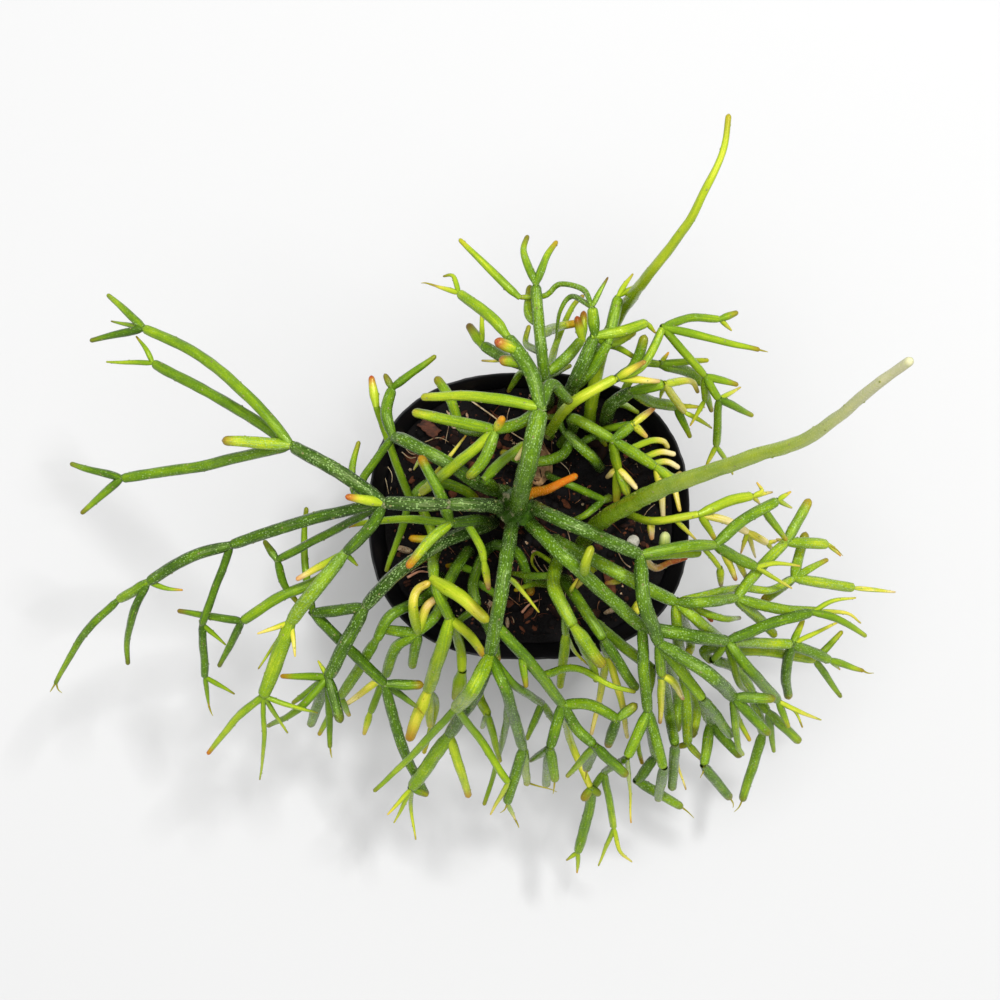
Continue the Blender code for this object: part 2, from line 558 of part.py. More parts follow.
def placed(column, row, height):
    """The point, in metres, that the photograph shows at a column and a row, at a height over the rim."""
    eye_x = (PHOTO_MIDDLE - POT_COLUMN) * photo_scale(0)
    eye_y = (POT_ROW - PHOTO_MIDDLE) * photo_scale(0)
    scale = photo_scale(height)
    x = eye_x + (column - PHOTO_MIDDLE) * scale
    y = eye_y - (row - PHOTO_MIDDLE) * scale
    return np.array([x, y, POT_HEIGHT + height])


def curve_weights(count, places):
    """How much each of a curve's points counts at each place along it: 0 is the first point, 1 the next."""
    weights = np.zeros((len(places), count))
    for row, place in enumerate(places):
        first = min(int(place), count - 2)
        t = place - first
        shares = {
            first - 1: -0.5 * t + t**2 - 0.5 * t**3,
            first: 1 - 2.5 * t**2 + 1.5 * t**3,
            first + 1: 0.5 * t + 2 * t**2 - 1.5 * t**3,
            first + 2: -0.5 * t**2 + 0.5 * t**3,
        }
        for index, share in shares.items():
            if index < 0:
                weights[row, 0] += 2 * share
                weights[row, 1] -= share
            elif index >= count:
                weights[row, count - 1] += 2 * share
                weights[row, count - 2] -= share
            else:
                weights[row, index] += share
    return weights


class Stem:
    """One joint of the plant. Its points hold column, row and height in metres, its own start first."""

    def __init__(self, spray, name, row, stems):
        self.spray = spray
        self.name = name
        self.radius = row[0] / 2
        listed = list(row[1:])
        self.parent = stems.get((spray, name[:-1]))
        self.side = self.parent is not None and len(listed[0]) == 2
        self.place = 0.0
        if self.parent is None:
            start = (*listed[0][:2], listed[0][2] / 1000 + FOOT_RISE)
            listed = listed[1:]
        elif self.side:
            self.place = self.parent.nearest_place(listed[0])
            start = self.parent.at(self.place)
            listed = listed[1:]
        else:
            self.place = float(len(self.parent.points) - 1)
            start = self.parent.points[-1]
        self.points = np.array([start] + [(column, line, high / 1000) for column, line, high in listed])
        self.own = 1 if self.parent else 0
        self.tapers = row[0] in (WHIP, SLIM_WHIP)
        self.along_start = self.parent.along(self.place) if self.parent else 0.0
        stems[(spray, name)] = self

    def at(self, place):
        return curve_weights(len(self.points), [place])[0] @ self.points

    def nearest_place(self, spot):
        places = np.linspace(0, len(self.points) - 1, 60)
        shown = curve_weights(len(self.points), places) @ self.points
        return float(places[np.argmin(np.hypot(*(shown[:, :2] - spot).T))])

    def path(self, places):
        """Points in metres along the stem."""
        shown = curve_weights(len(self.points), places) @ self.points
        return np.array([placed(*point) for point in shown])

    def along(self, place):
        """Length from the spray's foot to a place on this stem."""
        steps = self.path(np.linspace(0, place, 12))
        return self.along_start + float(np.linalg.norm(np.diff(steps, axis=0), axis=1).sum())

    def limits(self):
        """How far each of the stem's own points may be moved: pixels across and down, metres up or down."""
        allowed = np.tile((0.0, 0.0, RISE_LIMIT), (len(self.points) - self.own, 1))
        if self.parent is None:
            allowed[0] = (FOOT_LIMIT, FOOT_LIMIT, 0)
            allowed[1] = (FOOT_LIMIT, FOOT_LIMIT, RISE_LIMIT)
        return allowed

    def reattach(self):
        if self.side:
            self.points[0] = self.parent.at(self.place)
        elif self.parent:
            self.points[0] = self.parent.points[-1]


def grown():
    """Every stem of every spray, parents first."""
    stems = {}
    for spray, table in SPRAYS.items():
        for name in sorted(table, key=lambda name: (len(name), name)):
            Stem(spray, name, table[name], stems)
    return list(stems.values())


def path_between(one, along_one, other, along_other, ends):
    """Length along the spray between two places on two of its stems."""
    shared = 0
    while shared < min(len(one.name), len(other.name)) and one.name[shared] == other.name[shared]:
        shared += 1
    fork = min(along_one, along_other, ends[(one.spray, one.name[:shared])])
    return along_one + along_other - 2 * fork


def outline_share(x, y, z):
    """1 on the pot's outer face at that height, less inside it and more outside."""
    taper = BASE_SHARE + (1 - BASE_SHARE) * np.clip(z / POT_HEIGHT, 0, 1)
    across = np.abs(x) / (RIM_WIDTH / 2 * taper)
    deep = np.abs(y) / (RIM_DEPTH / 2 * taper)
    return (across**CORNER_POWER + deep**CORNER_POWER) ** (1 / CORNER_POWER)


class Samples:
    """Places along all stems. Each place is a fixed share of the stems' own points."""

    def __init__(self, stems):
        self.stems = stems
        self.listed = np.vstack([stem.points[stem.own:] for stem in stems])
        total = len(self.listed)
        self.ends = {}
        self.rows = {}
        owner, shares, radius, along, steep, root = [], [], [], [], [], []
        start = 0
        for index, stem in enumerate(stems):
            count = len(stem.points)
            rows = np.zeros((count, total))
            rows[stem.own:, start: start + count - stem.own] = np.eye(count - stem.own)
            start += count - stem.own
            if stem.parent:
                carried = curve_weights(len(stem.parent.points), [stem.place])[0]
                rows[0] = carried @ self.rows[stem.parent]
            self.rows[stem] = rows
            length = stem.along(count - 1) - stem.along_start
            self.ends[(stem.spray, stem.name)] = stem.along_start + length
            places = np.linspace(0, count - 1, max(3, math.ceil(length / SAMPLE_STEP)))
            path = stem.path(places)
            rise = np.gradient(path, axis=0)
            owner += [index] * len(places)
            shares.append(curve_weights(count, places) @ rows)
            radius += [stem.radius] * len(places)
            along += [stem.along(place) for place in places]
            steep += list(np.abs(rise[:, 2]) > STEEP * np.hypot(rise[:, 0], rise[:, 1]))
            root += [stem.parent is None] * len(places)
        self.owner = np.array(owner)
        self.shares = np.vstack(shares)
        self.radius = np.array(radius)
        self.along = np.array(along)
        self.root = np.array(root)
        self.steep = np.array(steep) & self.root
        self.reach_out = np.clip(self.shares, 0, 1)
        self.find_pairs()

    def find_pairs(self):
        """Pairs of places that the photograph shows closer than their stems are thick."""
        shown = self.shares @ self.listed
        scale = photo_scale(shown[:, 2])
        found = []
        for first in range(len(shown)):
            rest = slice(first + 1, len(shown))
            apart = np.hypot(*(shown[rest, :2] - shown[first, :2]).T) * (scale[rest] + scale[first]) / 2
            reach = self.radius[rest] + self.radius[first] + CLEARANCE
            near = (apart < reach + SIDEWAYS) & (self.owner[rest] != self.owner[first])
            for other in np.nonzero(near)[0]:
                if not self.joined(first, first + 1 + other, reach[other]):
                    found.append((first, first + 1 + other, apart[other], reach[other]))
        groups = {}
        for first, other, apart, reach in found:
            upright = bool(self.steep[first] or self.steep[other])
            key = (self.owner[first], self.owner[other], upright)
            groups.setdefault(key, []).append((first, other, apart, reach))
        crossing, upright = [], []
        for key, members in groups.items():
            if key[2]:
                upright += [(first, other, reach) for first, other, _, reach in members]
                continue
            nearest = min(members, key=lambda member: member[2] / member[3])
            above = shown[nearest[0], 2] >= shown[nearest[1], 2]
            for first, other, _, reach in members:
                crossing.append((first, other, reach) if above else (other, first, reach))
        self.crossing = np.array(crossing)
        self.upright = np.array(upright)

    def joined(self, first, other, reach):
        one, two = self.stems[self.owner[first]], self.stems[self.owner[other]]
        if one.spray != two.spray:
            return False
        return path_between(one, self.along[first], two, self.along[other], self.ends) < JOINED_REACH * reach

    def pushes(self, now):
        """How far each place has to move: across and down the photograph, in pixels, and up, in metres."""
        scale = photo_scale(now[:, 2])
        push = np.zeros_like(now)
        upper, lower = self.crossing[:, 0].astype(int), self.crossing[:, 1].astype(int)
        reach = self.crossing[:, 2]
        apart = np.hypot(*(now[upper, :2] - now[lower, :2]).T) * (scale[upper] + scale[lower]) / 2
        lack = np.sqrt(np.maximum(reach**2 - apart**2, 0)) - (now[upper, 2] - now[lower, 2])
        short = (lack > 0) & (apart < reach)
        up, down = np.zeros(len(now)), np.zeros(len(now))
        np.maximum.at(up, upper[short], lack[short] / 2)
        np.maximum.at(down, lower[short], lack[short] / 2)
        push[:, 2] = up - down
        one, two = self.upright[:, 0].astype(int), self.upright[:, 1].astype(int)
        offset = now[one, :2] - now[two, :2]
        flat = np.hypot(*offset.T) + 1e-6
        size = (scale[one] + scale[two]) / 2
        distance = np.hypot(flat * size, now[one, 2] - now[two, 2])
        lack = (self.upright[:, 2] - distance) / size
        close = lack > 0
        step = offset / flat[:, None] * (lack * SIDE_SHARE)[:, None]
        np.add.at(push[:, :2], one[close], step[close])
        np.add.at(push[:, :2], two[close], -step[close])
        push[:, 2] += self.lifts(now)
        return push

    def lifts(self, now):
        """How far each place has to rise to stay clear of the rim, the wall, the soil and the ground."""
        points = placed(now[:, 0], now[:, 1], now[:, 2]).T
        share = outline_share(*points.T)
        clear = self.radius + CLEARANCE
        least = np.where(share > 1, LOWEST - POT_HEIGHT, SOIL_LUMP - SOIL_BELOW_RIM) + clear
        beside = np.abs(share - 1) < (clear + WALL + LIP_REACH) / (RIM_DEPTH / 2)
        least = np.where(beside, clear, least)
        standing = self.steep & ~beside
        return np.where(standing, 0, np.maximum(least - now[:, 2], 0))


def settle(stems):
    """Moves the stems' points until no stem runs through another, the pot or the soil."""
    samples = Samples(stems)
    free = samples.listed.copy()
    limits = np.vstack([stem.limits() for stem in stems])
    for _ in range(SETTLE_ROUNDS):
        push = samples.pushes(samples.shares @ free)
        if np.abs(push[:, 2]).max() < 2e-5 and np.abs(push[:, :2]).max() < 0.05:
            break
        weight = np.maximum(samples.reach_out.T @ (push != 0), LEAST_WEIGHT)
        free += samples.reach_out.T @ push / weight
        free = np.clip(free, samples.listed - limits, samples.listed + limits)
    start = 0
    for stem in stems:
        count = len(stem.points) - stem.own
        stem.points[stem.own:] = free[start: start + count]
        start += count
        stem.reattach()


def new_object(name, mesh, material):
    obj = bpy.data.objects.new(name, mesh)
    bpy.context.scene.collection.objects.link(obj)
    if material:
        mesh.materials.append(material)
    return obj


def plastic_like(name, colour, roughness):
    """A plain material of one colour."""
    material = bpy.data.materials.new(name)
    material.use_nodes = True
    shader = material.node_tree.nodes["Principled BSDF"]
    shader.inputs["Base Color"].default_value = (*colour, 1)
    shader.inputs["Roughness"].default_value = roughness
    shader.inputs["Metallic"].default_value = 0
    return material


def tube_mesh(name, spine, radii, sides, tip):
    """A closed tube round a spine. It ends in a low cone where a tip is given, as a free stem end does."""
    mesh = bmesh.new()
    heading = Vector(spine[1] - spine[0]).normalized()
    across = heading.orthogonal().normalized()
    rings = []
    for index, (point, radius) in enumerate(zip(spine, radii)):
        before = spine[max(index - 1, 0)]
        after = spine[min(index + 1, len(spine) - 1)]
        heading = Vector(after - before).normalized()
        across = (across - heading * across.dot(heading)).normalized()
        beside = heading.cross(across)
        ring = []
        for side in range(sides):
            turn = 2 * math.pi * side / sides
            spoke = across * math.cos(turn) + beside * math.sin(turn)
            ring.append(mesh.verts.new(Vector(point) + spoke * radius))
        rings.append(ring)
    for lower, upper in zip(rings, rings[1:]):
        for side in range(sides):
            after = (side + 1) % sides
            mesh.faces.new((lower[side], lower[after], upper[after], upper[side]))
    mesh.faces.new(tuple(reversed(rings[0])))
    if tip is not None:
        peak = mesh.verts.new(tip)
        for side in range(sides):
            mesh.faces.new((rings[-1][side], rings[-1][(side + 1) % sides], peak))
    else:
        mesh.faces.new(tuple(rings[-1]))
    data = bpy.data.meshes.new(name)
    mesh.to_mesh(data)
    mesh.free()
    return data


def ring_places(stem, has_children):
    """Where a stem's tube has its rings: near both ends, at its points, and between them where it curves."""
    last = len(stem.points) - 1
    places = [0.0, NEAR_START]
    for point in range(1, last + 1):
        middle = point - 0.5
        start, bend, end = stem.path([point - 1, middle, point])
        if last > 1 and np.linalg.norm(bend - (start + end) / 2) > BEND_LIMIT:
            places.append(middle)
        if point < last:
            places.append(float(point))
    if not has_children:
        return places + [last - NEAR_TIP]
    return places + [last - NEAR_START, float(last)]


def stem_tube(stem, has_children):
    """The stem's tube: narrow where it joins, full along the middle, blunt or pointed at its end."""
    places = ring_places(stem, has_children)
    full = stem.radius * FULLER
    radii = [full * START_SHARE] + [full] * (len(places) - 2) + [full * END_SHARE]
    if not has_children and stem.radius * 2 < SLIM:
        radii[-1] = full * POINTED_SHARE
    if stem.tapers:
        radii = list(full * np.linspace(1, TAPER_SHARE, len(places)))
    if len(places) == 4 and stem.along(places[-1]) - stem.along_start < SHORT:
        places.pop(1)
        radii.pop(1)
    spine = list(stem.path(places))
    tip = None if has_children else stem.path([len(stem.points) - 1])[0]
    if stem.parent is None:
        spine.insert(0, spine[0] - np.array([0, 0, SUNK]))
        radii.insert(0, full * START_SHARE)
    else:
        heading = (spine[1] - spine[0]) / np.linalg.norm(spine[1] - spine[0])
        spine[0] = spine[0] - heading * min(stem.parent.radius * 0.6, ROOT_SINK)
    sides = 4
    if stem.radius * 2 > THICK:
        sides = 5
    if stem.radius * 2 < THIN:
        sides = 3
    return tube_mesh(stem.name, spine, radii, sides, tip)


def spray_object(name, stems, material):
    """All stems of one spray, joined into one solid."""
    parents = {stem.parent.name for stem in stems if stem.parent}
    trunk = new_object(name, stem_tube(stems[0], stems[0].name in parents), material)
    if len(stems) == 1:
        return trunk
    others = bpy.data.collections.new(name + "_stems")
    bpy.context.scene.collection.children.link(others)
    for stem in stems[1:]:
        others.objects.link(bpy.data.objects.new(stem.name, stem_tube(stem, stem.name in parents)))
    join = trunk.modifiers.new("Join", "BOOLEAN")
    join.operation = "UNION"
    join.operand_type = "COLLECTION"
    join.collection = others
    join.solver = "MANIFOLD"
    thin = trunk.modifiers.new("Fewer faces", "DECIMATE")
    thin.ratio = KEPT_FACES
    graph = bpy.context.evaluated_depsgraph_get()
    joined = bpy.data.meshes.new_from_object(trunk.evaluated_get(graph))
    trunk.modifiers.clear()
    trunk.data = joined
    if material:
        joined.materials.clear()
        joined.materials.append(material)
    for obj in list(others.objects):
        bpy.data.objects.remove(obj)
    bpy.data.collections.remove(others)
    return trunk


def pot_outline(z, inset, turn):
    """A point of the pot's outline at a height, moved in by an inset."""
    taper = BASE_SHARE + (1 - BASE_SHARE) * z / POT_HEIGHT
    half_width = RIM_WIDTH / 2 * taper - inset
    half_depth = RIM_DEPTH / 2 * taper - inset
    cos, sin = math.cos(turn), math.sin(turn)
    reach = (abs(cos) ** CORNER_POWER + abs(sin) ** CORNER_POWER) ** (-1 / CORNER_POWER)
    return Vector((half_width * cos * reach, half_depth * sin * reach, z))


def pot_object(material):
    """The thin-walled pot: outer face, lip, inner face and floor, with drain holes near the floor's edge."""
    profile = [
        (0.0, 0.0010),
        (0.0012, 0.0),
        (POT_HEIGHT * 0.5, 0.0),
        (POT_HEIGHT - LIP_HEIGHT, 0.0),
        (POT_HEIGHT - LIP_HEIGHT * 0.8, -LIP_REACH),
        (POT_HEIGHT, -LIP_REACH),
        (POT_HEIGHT, WALL * 0.9),
        (POT_HEIGHT * 0.5, WALL),
        (FLOOR, WALL + 0.0004),
    ]
    mesh = bmesh.new()
    rings = []
    for z, inset in profile:
        turns = [2 * math.pi * side / POT_SIDES for side in range(POT_SIDES)]
        rings.append([mesh.verts.new(pot_outline(z, inset, turn)) for turn in turns])
    for outer, inner in zip(rings, rings[1:]):
        for side in range(POT_SIDES):
            after = (side + 1) % POT_SIDES
            mesh.faces.new((outer[side], outer[after], inner[after], inner[side]))
    mesh.faces.new(tuple(reversed(rings[0])))
    mesh.faces.new(tuple(rings[-1]))
    data = bpy.data.meshes.new("pot")
    mesh.to_mesh(data)
    mesh.free()
    pot = new_object("pot", data, material)
    data.shade_smooth()
    data.set_sharp_from_angle(angle=math.radians(40))
    for index in range(HOLE_COUNT):
        turn = 2 * math.pi * (index + 0.5) / HOLE_COUNT
        spot = pot_outline(0, 0, turn) * HOLE_RING
        cutter = hole_cutter(f"drain_cutter_{index}", spot, HOLE_RADIUS, 0.02, 12)
        cut = pot.modifiers.new(f"Drain {index}", "BOOLEAN")
        cut.operation = "DIFFERENCE"
        cut.solver = "EXACT"
        cut.object = cutter
    return pot


def hole_cutter(name, middle, radius, length, sides):
    """An upright round bar, centred on a point, that only cuts."""
    mesh = bmesh.new()
    bmesh.ops.create_cone(
        mesh, cap_ends=True, segments=sides, radius1=radius, radius2=radius, depth=length
    )
    data = bpy.data.meshes.new(name)
    mesh.to_mesh(data)
    mesh.free()
    cutter = new_object(name, data, None)
    cutter.location = middle
    cutter.hide_render = True
    cutter.display_type = "WIRE"
    return cutter


def soil_height(x, y):
    """Height of the soil's lumpy top."""
    wave = math.sin(x * 520 + 0.4) * math.cos(y * 610 - 0.9)
    ripple = math.sin(x * 1370 + y * 940) * math.cos(y * 1510 - x * 480 + 1.3)
    return POT_HEIGHT - SOIL_BELOW_RIM + SOIL_LUMP * (0.55 * wave + 0.45 * ripple)


def soil_object(material, feet):
    """The soil, with a plain hole round each foot that stands in it."""
    low = FLOOR + GAP
    mesh = bmesh.new()
    turns = [2 * math.pi * side / POT_SIDES for side in range(POT_SIDES)]
    top_z = POT_HEIGHT - SOIL_BELOW_RIM
    bottom = [mesh.verts.new(pot_outline(low, WALL + 0.0005 + GAP, turn)) for turn in turns]
    middle = [mesh.verts.new(pot_outline(POT_HEIGHT * 0.5, WALL + GAP, turn)) for turn in turns]
    rings = [bottom, middle]
    for ring in range(SOIL_RINGS):
        share = 1 - ring / SOIL_RINGS
        points = []
        for turn in turns:
            edge = pot_outline(top_z, WALL + GAP, turn)
            x, y = edge.x * share, edge.y * share
            points.append(mesh.verts.new((x, y, soil_height(x, y))))
        rings.append(points)
    for outer, inner in zip(rings, rings[1:]):
        for side in range(POT_SIDES):
            after = (side + 1) % POT_SIDES
            mesh.faces.new((outer[side], outer[after], inner[after], inner[side]))
    mesh.faces.new(tuple(reversed(bottom)))
    peak = mesh.verts.new((0, 0, soil_height(0, 0)))
    for side in range(POT_SIDES):
        mesh.faces.new((rings[-1][side], rings[-1][(side + 1) % POT_SIDES], peak))
    bmesh.ops.triangulate(mesh, faces=mesh.faces[:])
    data = bpy.data.meshes.new("soil")
    mesh.to_mesh(data)
    mesh.free()
    soil = new_object("soil", data, material)
    for index, (point, radius) in enumerate(feet):
        depth = 2 * (SUNK + 0.0008)
        middle = Vector((point[0], point[1], point[2]))
        cutter = hole_cutter(f"foot_cutter_{index}", middle, radius + 0.0007, depth, 6)
        cut = soil.modifiers.new(f"Foot {index}", "BOOLEAN")
        cut.operation = "DIFFERENCE"
        cut.solver = "EXACT"
        cut.object = cutter
    return soil


def resting_height(points):
    """The least height at which something over these points clears the soil."""
    return max(soil_height(x, y) for x, y in points) + GAP


def loose_object(name, row, corners, material):
    """A small solid lying on the soil, from corner points in a cube of two units."""
    column, line, turn, length, width, height = row
    middle = placed(column, line, -SOIL_BELOW_RIM)
    cos, sin = math.cos(turn), math.sin(turn)
    mesh = bmesh.new()
    spots = []
    for x, y, z in corners:
        along, across = x * length / 2, y * width / 2
        spot = Vector((middle[0] + along * cos - across * sin, middle[1] + along * sin + across * cos, z))
        spots.append((spot.x, spot.y))
        mesh.verts.new(spot)
    low = resting_height(spots)
    for vert in mesh.verts:
        vert.co.z = low + (vert.co.z + 1) * height / 2
    bmesh.ops.convex_hull(mesh, input=mesh.verts)
    data = bpy.data.meshes.new(name)
    mesh.to_mesh(data)
    mesh.free()
    return new_object(name, data, material)


def pebble_corners():
    """Corners of a rounded lump."""
    corners = [(0, 0, -1), (0, 0, 1)]
    for level, reach in ((-0.6, 0.75), (0.1, 1.0), (0.7, 0.68)):
        for side in range(8):
            turn = 2 * math.pi * side / 8 + level
            corners.append((reach * math.cos(turn), reach * math.sin(turn), level))
    return corners


def bark_corners():
    """Corners of a flat split chip."""
    outline = ((-1, -0.7), (-0.6, -1), (0.7, -0.8), (1, -0.1), (0.8, 0.8), (-0.3, 1), (-0.9, 0.4))
    return [(x * share, y * share, z) for z, share in ((-1, 0.9), (-0.2, 1), (1, 0.86)) for x, y in outline]


def leaf_object(material):
    """A dry, curled leaf stub lying on the soil."""
    flat = [placed(column, line, -SOIL_BELOW_RIM)[:2] for column, line in LEAF]
    spine = []
    for x, y in flat:
        around = [(x + step, y + side) for step in (-0.002, 0, 0.002) for side in (-0.002, 0, 0.002)]
        spine.append(np.array([x, y, resting_height(around) + LEAF_THICK / 2]))
    radii = [LEAF_THICK / 2 * share for share in (0.6, 1.0, 0.9, 0.4)]
    return new_object("dry_leaf", tube_mesh("dry_leaf", spine, radii, 4, None), material)


def main():
    for obj in list(bpy.data.objects):
        bpy.data.objects.remove(obj)
    green = plastic_like("stem_green", (0.13, 0.26, 0.04), 0.45)
    black = plastic_like("pot_black", (0.012, 0.012, 0.013), 0.42)
    brown = plastic_like("soil_brown", (0.030, 0.018, 0.012), 0.95)
    stems = grown()
    settle(stems)
    pot_object(black)
    feet = [(stem.path([0])[0], stem.radius) for stem in stems if stem.parent is None]
    soil_object(brown, feet)
    loose_object("pebble", PEBBLE, pebble_corners(), plastic_like("stone_pale", (0.62, 0.58, 0.50), 0.7))
    dry = plastic_like("dry_brown", (0.20, 0.10, 0.045), 0.85)
    loose_object("bark_chip", BARK, bark_corners(), dry)
    leaf_object(dry)
    for spray in SPRAYS:
        spray_object(spray, [stem for stem in stems if stem.spray == spray], green)


main()
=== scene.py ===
"""Looks for the mistletoe cactus in its nursery pot: fine stems, soil, pot, floor, light and camera.

The stems come from the same table and the same settling as the part's source, so each fine stem lies along
the solid that it stands for. Lengths are in metres.
"""

import json
import math
import random

import bmesh
import bpy
import numpy as np
from mathutils import Matrix, Vector, noise

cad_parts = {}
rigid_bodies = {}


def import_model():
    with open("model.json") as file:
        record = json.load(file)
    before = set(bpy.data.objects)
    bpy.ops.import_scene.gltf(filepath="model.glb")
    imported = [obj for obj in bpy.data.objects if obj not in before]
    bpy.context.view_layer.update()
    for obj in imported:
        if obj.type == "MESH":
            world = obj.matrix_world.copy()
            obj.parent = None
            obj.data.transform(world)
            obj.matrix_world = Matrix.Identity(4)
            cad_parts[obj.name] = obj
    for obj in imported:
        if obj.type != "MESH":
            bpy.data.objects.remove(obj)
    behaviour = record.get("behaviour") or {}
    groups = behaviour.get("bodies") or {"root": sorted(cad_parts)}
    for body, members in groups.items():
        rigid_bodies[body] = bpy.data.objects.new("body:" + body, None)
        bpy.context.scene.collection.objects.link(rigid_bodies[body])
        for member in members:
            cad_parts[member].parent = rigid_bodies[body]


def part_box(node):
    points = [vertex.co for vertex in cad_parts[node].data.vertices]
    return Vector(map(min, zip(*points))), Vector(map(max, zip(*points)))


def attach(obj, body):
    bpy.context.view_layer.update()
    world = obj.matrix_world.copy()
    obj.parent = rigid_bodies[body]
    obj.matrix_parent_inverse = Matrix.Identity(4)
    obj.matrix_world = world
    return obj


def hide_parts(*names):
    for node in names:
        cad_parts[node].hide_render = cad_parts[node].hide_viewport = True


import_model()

# Pot and soil
RIM_WIDTH = 0.090
RIM_DEPTH = 0.0803
POT_HEIGHT = 0.080
BASE_SHARE = 0.72
CORNER_POWER = 2.5
WALL = 0.0012
FLOOR = 0.0016
LIP_REACH = 0.0009
LIP_HEIGHT = 0.0020
HOLE_COUNT = 6
HOLE_RADIUS = 0.0035
HOLE_RING = 0.66
GAP = 0.0004
SOIL_BELOW_RIM = 0.0105
SOIL_LUMP = 0.0009
SUNK = 0.010

# The photograph, in pixels, and the height of the eye over the rim
PHOTO_MIDDLE = 500
POT_COLUMN = 529
POT_ROW = 516
RIM_PIXELS = 316
EYE_HEIGHT = 0.520

# Kinds of stem
TRUNK = "trunk"
WHIP = "whip"
SLIM_WHIP = "slim whip"
CLUB = "club"
LIMB = "limb"
STEM = "stem"
SHOOT = "shoot"
BUD = "bud"
TWIG = "twig"
YELLOW = "yellow"
AERIAL = "aerial"
SPROUT = "sprout"
THICKNESS = {
    TRUNK: 0.0046,
    WHIP: 0.0042,
    SLIM_WHIP: 0.0034,
    CLUB: 0.0037,
    LIMB: 0.0035,
    STEM: 0.0029,
    SHOOT: 0.0027,
    BUD: 0.0025,
    TWIG: 0.0021,
    YELLOW: 0.0021,
    AERIAL: 0.0018,
    SPROUT: 0.0014,
}

# How thin the free end of each kind is beside its middle
END_SHARE = {
    TRUNK: 0.90,
    WHIP: 0.40,
    SLIM_WHIP: 0.40,
    CLUB: 0.72,
    LIMB: 0.86,
    STEM: 0.84,
    SHOOT: 0.72,
    BUD: 0.62,
    TWIG: 0.58,
    YELLOW: 0.52,
    AERIAL: 0.80,
    SPROUT: 0.36,
}

# How the stems are moved apart
SAMPLE_STEP = 0.0019
CLEARANCE = 0.0006
SETTLE_ROUNDS = 500
STEEP = 1.2
SIDEWAYS = 0.0015
RISE_LIMIT = 0.014
FOOT_LIMIT = 10
FOOT_RISE = 0.0015
LOWEST = 0.009
STILL_RISE = 2e-5
STILL_PIXELS = 0.05
JOINED_REACH = 3.2
LEAST_WEIGHT = 0.35
SIDE_SHARE = 0.3

# Look of each kind: its age where it starts and where it ends, how thickly pale flecks lie on it, and how
# much its free tip is flushed. Age runs from 0, cream, over yellow and lime, to 1, dark green.
LOOK = {
    TRUNK: (0.84, 0.74, 0.80, 0.0),
    WHIP: (0.62, 0.44, 0.05, 0.5),
    SLIM_WHIP: (0.54, 0.42, 0.05, 0.6),
    CLUB: (0.58, 0.46, 0.20, 0.5),
    LIMB: (0.86, 0.76, 0.80, 0.2),
    STEM: (0.76, 0.64, 0.45, 0.5),
    SHOOT: (0.60, 0.48, 0.20, 0.6),
    BUD: (0.42, 0.30, 0.10, 1.0),
    TWIG: (0.68, 0.50, 0.20, 0.6),
    YELLOW: (0.34, 0.17, 0.0, 0.7),
    AERIAL: (0.52, 0.10, 0.0, 0.3),
    SPROUT: (0.46, 0.28, 0.05, 0.6),
}

# Painted light and shade: how much younger and paler a stem's upper side is painted than its flanks, and its
# underside darker
PAINTED_LIGHT_FROM_ABOVE = 0.14

# How far down from its tip a stem is flushed: in radii, or for the thick whip as a share of its length
FLUSH_RADII = {STEM: 2.8, BUD: 3}
OTHER_FLUSH_RADII = 4.5
WHIP_FLUSH_SHARE = 0.24

# Changes of age and fleck share for a whole spray
SPRAY_LOOK = {
    "spray_west": (0.15, 0.1),
    "spray_northwest": (0.06, 0.0),
    "spray_southwest": (0.10, 0.0),
    "spray_south_inner": (0.12, 0.0),
    "spray_low_inner": (0.12, 0.2),
    "spray_back_inner": (0.08, 0.4),
    "spray_south_middle": (-0.10, -0.1),
    "spray_east": (-0.16, -0.2),
    "spray_east_inner": (-0.04, 0.0),
    "spray_west_inner": (0.0, -0.1),
    "spray_north_back": (0.0, 0.3),
    "spray_east_low": (-0.12, 0.3),
}

